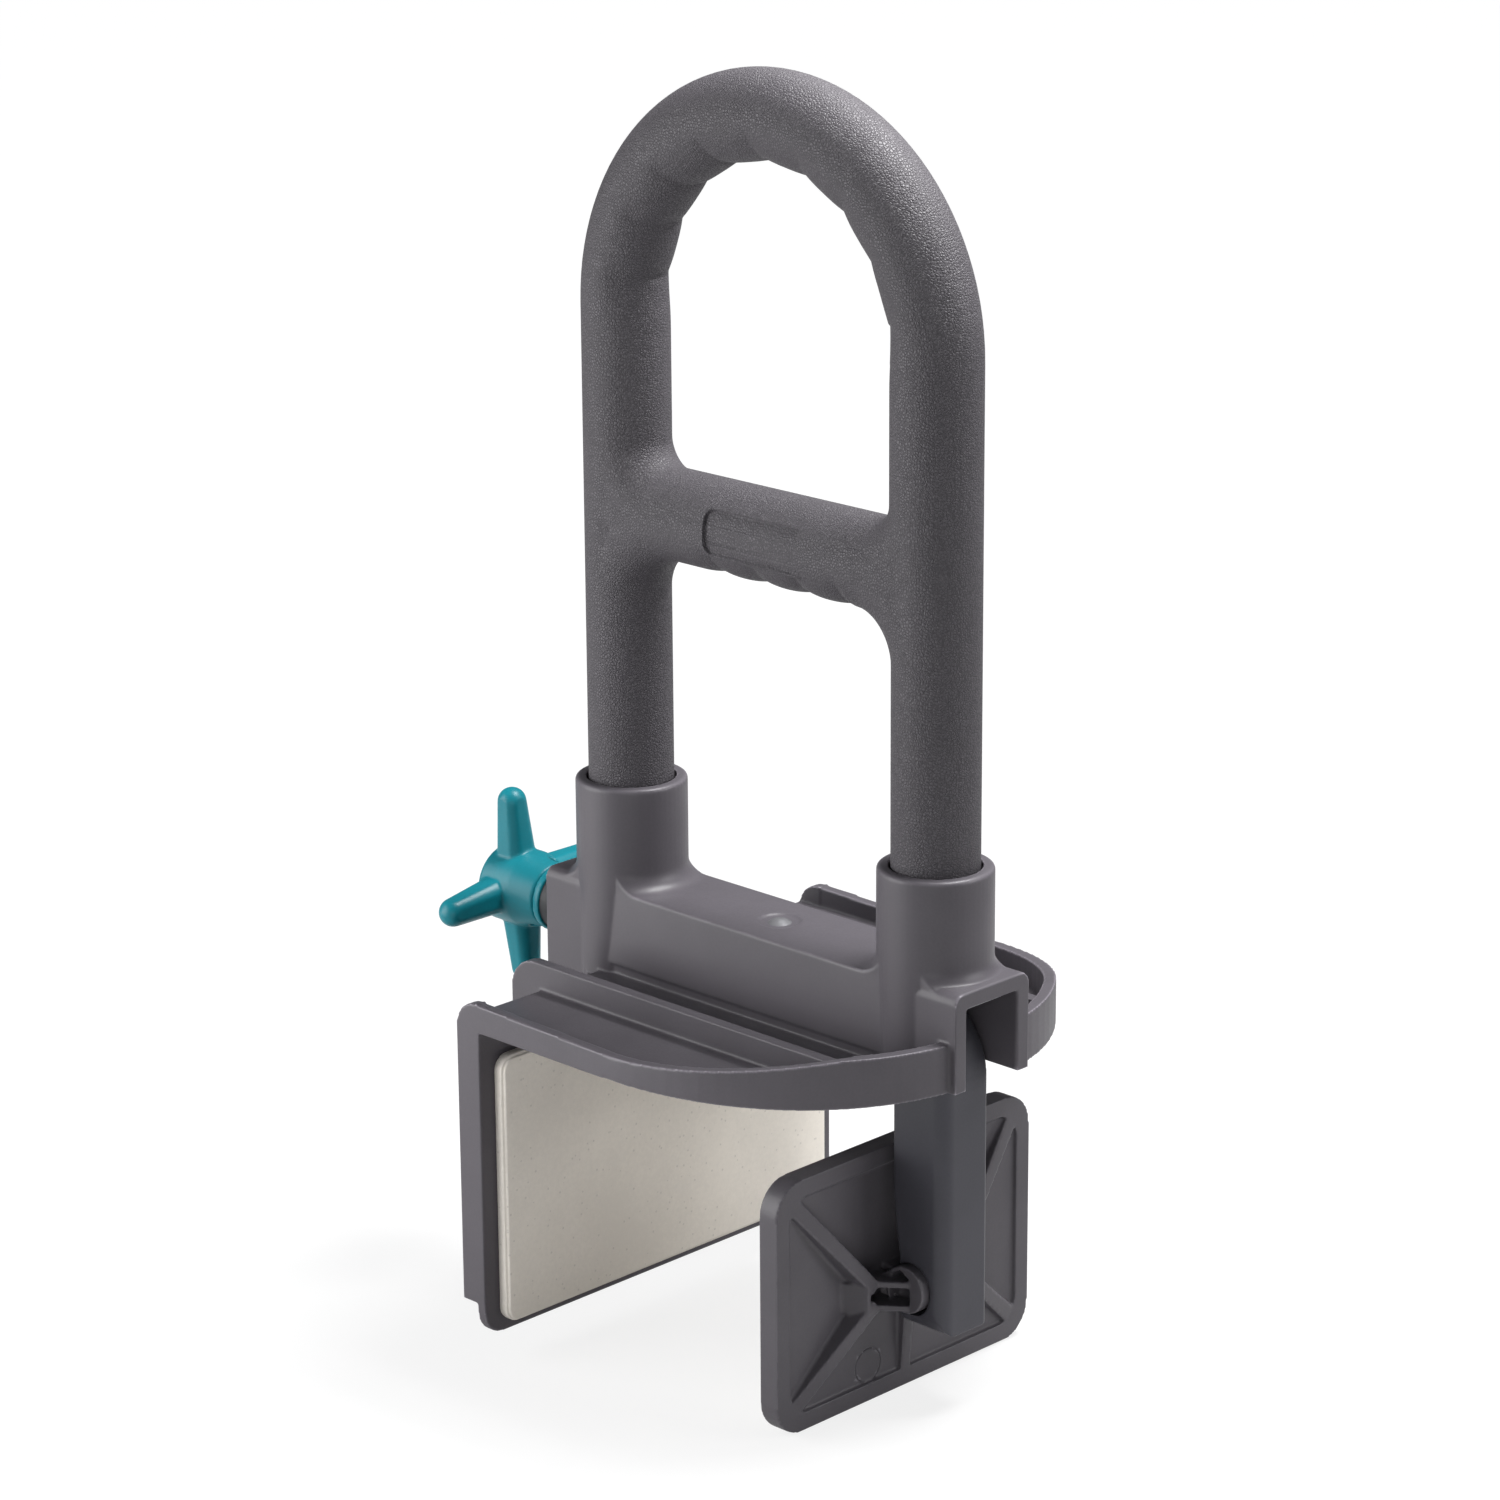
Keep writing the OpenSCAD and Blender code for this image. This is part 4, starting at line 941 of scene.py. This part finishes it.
def stage_material():
    """Pale floor that shows white to the camera and keeps a faint shadow of the object."""
    material, shader = new_material("Studio Floor", (FLOOR_TONE,) * 3, roughness=0.9, specular=0.1)
    tree = material.node_tree
    output = tree.nodes["Material Output"]
    path = add_node(tree, "ShaderNodeLightPath", (-500, 300))
    glossy = math_node(
        tree, "MULTIPLY", (-300, 200), path.outputs["Is Glossy Ray"], FLOOR_WHITE_MIRRORED)
    camera = math_node(
        tree, "MULTIPLY", (-300, 350), path.outputs["Is Camera Ray"], FLOOR_WHITE_SEEN)
    tone = math_node(tree, "MULTIPLY_ADD", (-300, 0), path.outputs["Is Camera Ray"],
                     FLOOR_TONE_SEEN, FLOOR_TONE)
    tree.links.new(tone, shader.inputs["Base Color"])
    seen = math_node(tree, "MAXIMUM", (-100, 300), camera, glossy)
    reach = add_node(tree, "ShaderNodeVectorMath", (-700, -200), operation="LENGTH")
    tree.links.new(object_coords(tree, (-900, -200)), reach.inputs[0])
    far = ramp_node(tree, (-500, -200), reach.outputs["Value"], *FLOOR_FADE)
    strength = math_node(tree, "MULTIPLY_ADD", (-300, -200), far, FLOOR_LIFT, 1.0)
    white = add_node(tree, "ShaderNodeEmission", (0, 150))
    tree.links.new(strength, white.inputs["Strength"])
    mix_shaders(tree, (250, 0), seen, shader, white, output)
    return material


def mix_shaders(tree, place, mask, first, second, output):
    """Sends a mix of two shaders to a tree's output."""
    mix = add_node(tree, "ShaderNodeMixShader", place)
    tree.links.new(mask, mix.inputs[0])
    tree.links.new(first.outputs[0], mix.inputs[1])
    tree.links.new(second.outputs[0], mix.inputs[2])
    tree.links.new(mix.outputs[0], output.inputs["Surface"])


def studio_world(world):
    """Even light on the object, and plain white behind it."""
    tree = world.node_tree
    tree.nodes.clear()
    path = add_node(tree, "ShaderNodeLightPath", (-600, 200))
    seen = math_node(tree, "MAXIMUM", (-400, 200),
                     path.outputs["Is Camera Ray"], path.outputs["Is Transmission Ray"])
    soft = add_node(tree, "ShaderNodeBackground", (-300, 0))
    soft.inputs["Color"].default_value = AMBIENT_COLOUR
    soft.inputs["Strength"].default_value = AMBIENT_STRENGTH
    white = add_node(tree, "ShaderNodeBackground", (-300, -150))
    white.inputs["Strength"].default_value = 1.0
    white.inputs["Color"].default_value = (1.0, 1.0, 1.0, 1.0)
    output = add_node(tree, "ShaderNodeOutputWorld", (250, 0))
    mix_shaders(tree, (0, 0), seen, soft, white, output)


def add_lamp(name, place, size, power):
    """A square soft lamp that looks at the middle of the object."""
    lamp = bpy.data.lights.new(name + " Lamp", "AREA")
    lamp.size = size
    lamp.energy = power
    obj = bpy.data.objects.new(name + "_lamp", lamp)
    bpy.context.scene.collection.objects.link(obj)
    aim = Vector(LAMP_TARGET) - Vector(place)
    obj.rotation_euler = aim.to_track_quat("-Z", "Y").to_euler()
    obj.location = place


def add_camera():
    """The camera at the photograph's place, angle and lens."""
    data = bpy.data.cameras.new("Photo Camera")
    data.sensor_width = CAMERA_SENSOR
    data.lens = CAMERA_LENS
    data.clip_start, data.clip_end = CAMERA_CLIP
    camera = bpy.data.objects.new("photo_camera", data)
    bpy.context.scene.collection.objects.link(camera)
    right = Vector(CAMERA_RIGHT)
    up = Vector(CAMERA_UP)
    turn = Matrix((right, up, right.cross(up))).transposed().to_4x4()
    camera.matrix_world = Matrix.Translation(CAMERA_PLACE) @ turn
    bpy.context.scene.camera = camera


class GRABBAR_OT_stage(bpy.types.Operator):
    """Sets the pale floor, the soft lamps and the camera"""
    bl_idname = "grabbar.stage"
    bl_label = "Stage"

    def execute(self, context):
        s = settings("grab_stage")
        clear_selection()
        floor_z = CAD_BOX[0][2] - s.floor_drop
        bpy.ops.mesh.primitive_plane_add(size=FLOOR_SIDE, location=(0.0, 0.0, floor_z))
        floor = context.object
        floor.name = "studio_floor"
        floor.data.materials.append(stage_material())
        world = context.scene.world or bpy.data.worlds.new("Studio")
        context.scene.world = world
        world.use_nodes = True
        studio_world(world)
        for name, (place, size, share) in LAMPS.items():
            add_lamp(name, place, size, s.lamp_power * share)
        add_camera()
        context.scene.view_settings.view_transform = "Standard"
        return {"FINISHED"}


# ---------------------------------------------------------------- panel and start


class GRABBAR_PT_panel(bpy.types.Panel):
    """Lists the pieces and the stage of the grab bar"""
    bl_idname = "GRABBAR_PT_panel"
    bl_label = "Grab Bar"
    bl_space_type = "VIEW_3D"
    bl_region_type = "UI"
    bl_category = "Grab Bar"

    def draw(self, context):
        layout = self.layout
        for group, (kind, label) in SETTINGS.items():
            layout.label(text=label)
            values = getattr(context.scene, group)
            for name in kind.__annotations__:
                layout.prop(values, name)
        for piece in OPERATORS:
            layout.operator(piece.bl_idname)


SETTINGS = {
    "grab_grip": (GripSettings, "Grip"),
    "grab_saddle": (SaddleSettings, "Saddle"),
    "grab_jaw": (JawSettings, "Jaws"),
    "grab_knob": (KnobSettings, "Knob"),
    "grab_stage": (StageSettings, "Stage"),
}
OPERATORS = (
    GRABBAR_OT_stage,
    GRABBAR_OT_grip,
    GRABBAR_OT_saddle,
    GRABBAR_OT_knob,
    GRABBAR_OT_jaw,
    GRABBAR_OT_pads,
    GRABBAR_OT_fittings,
)


def register():
    for kind, _label in SETTINGS.values():
        bpy.utils.register_class(kind)
    for piece in OPERATORS:
        bpy.utils.register_class(piece)
    bpy.utils.register_class(GRABBAR_PT_panel)
    for group, (kind, _label) in SETTINGS.items():
        setattr(bpy.types.Scene, group, bpy.props.PointerProperty(type=kind))


def unregister():
    for group in SETTINGS:
        delattr(bpy.types.Scene, group)
    bpy.utils.unregister_class(GRABBAR_PT_panel)
    for piece in reversed(OPERATORS):
        bpy.utils.unregister_class(piece)
    for kind, _label in SETTINGS.values():
        bpy.utils.unregister_class(kind)


def main():
    register()
    bpy.ops.grabbar.stage()
    bpy.ops.grabbar.grip()
    bpy.ops.grabbar.saddle()
    bpy.ops.grabbar.knob()
    bpy.ops.grabbar.jaw()
    bpy.ops.grabbar.pads()
    bpy.ops.grabbar.fittings()
    clear_selection()


if __name__ == "__main__":
    main()
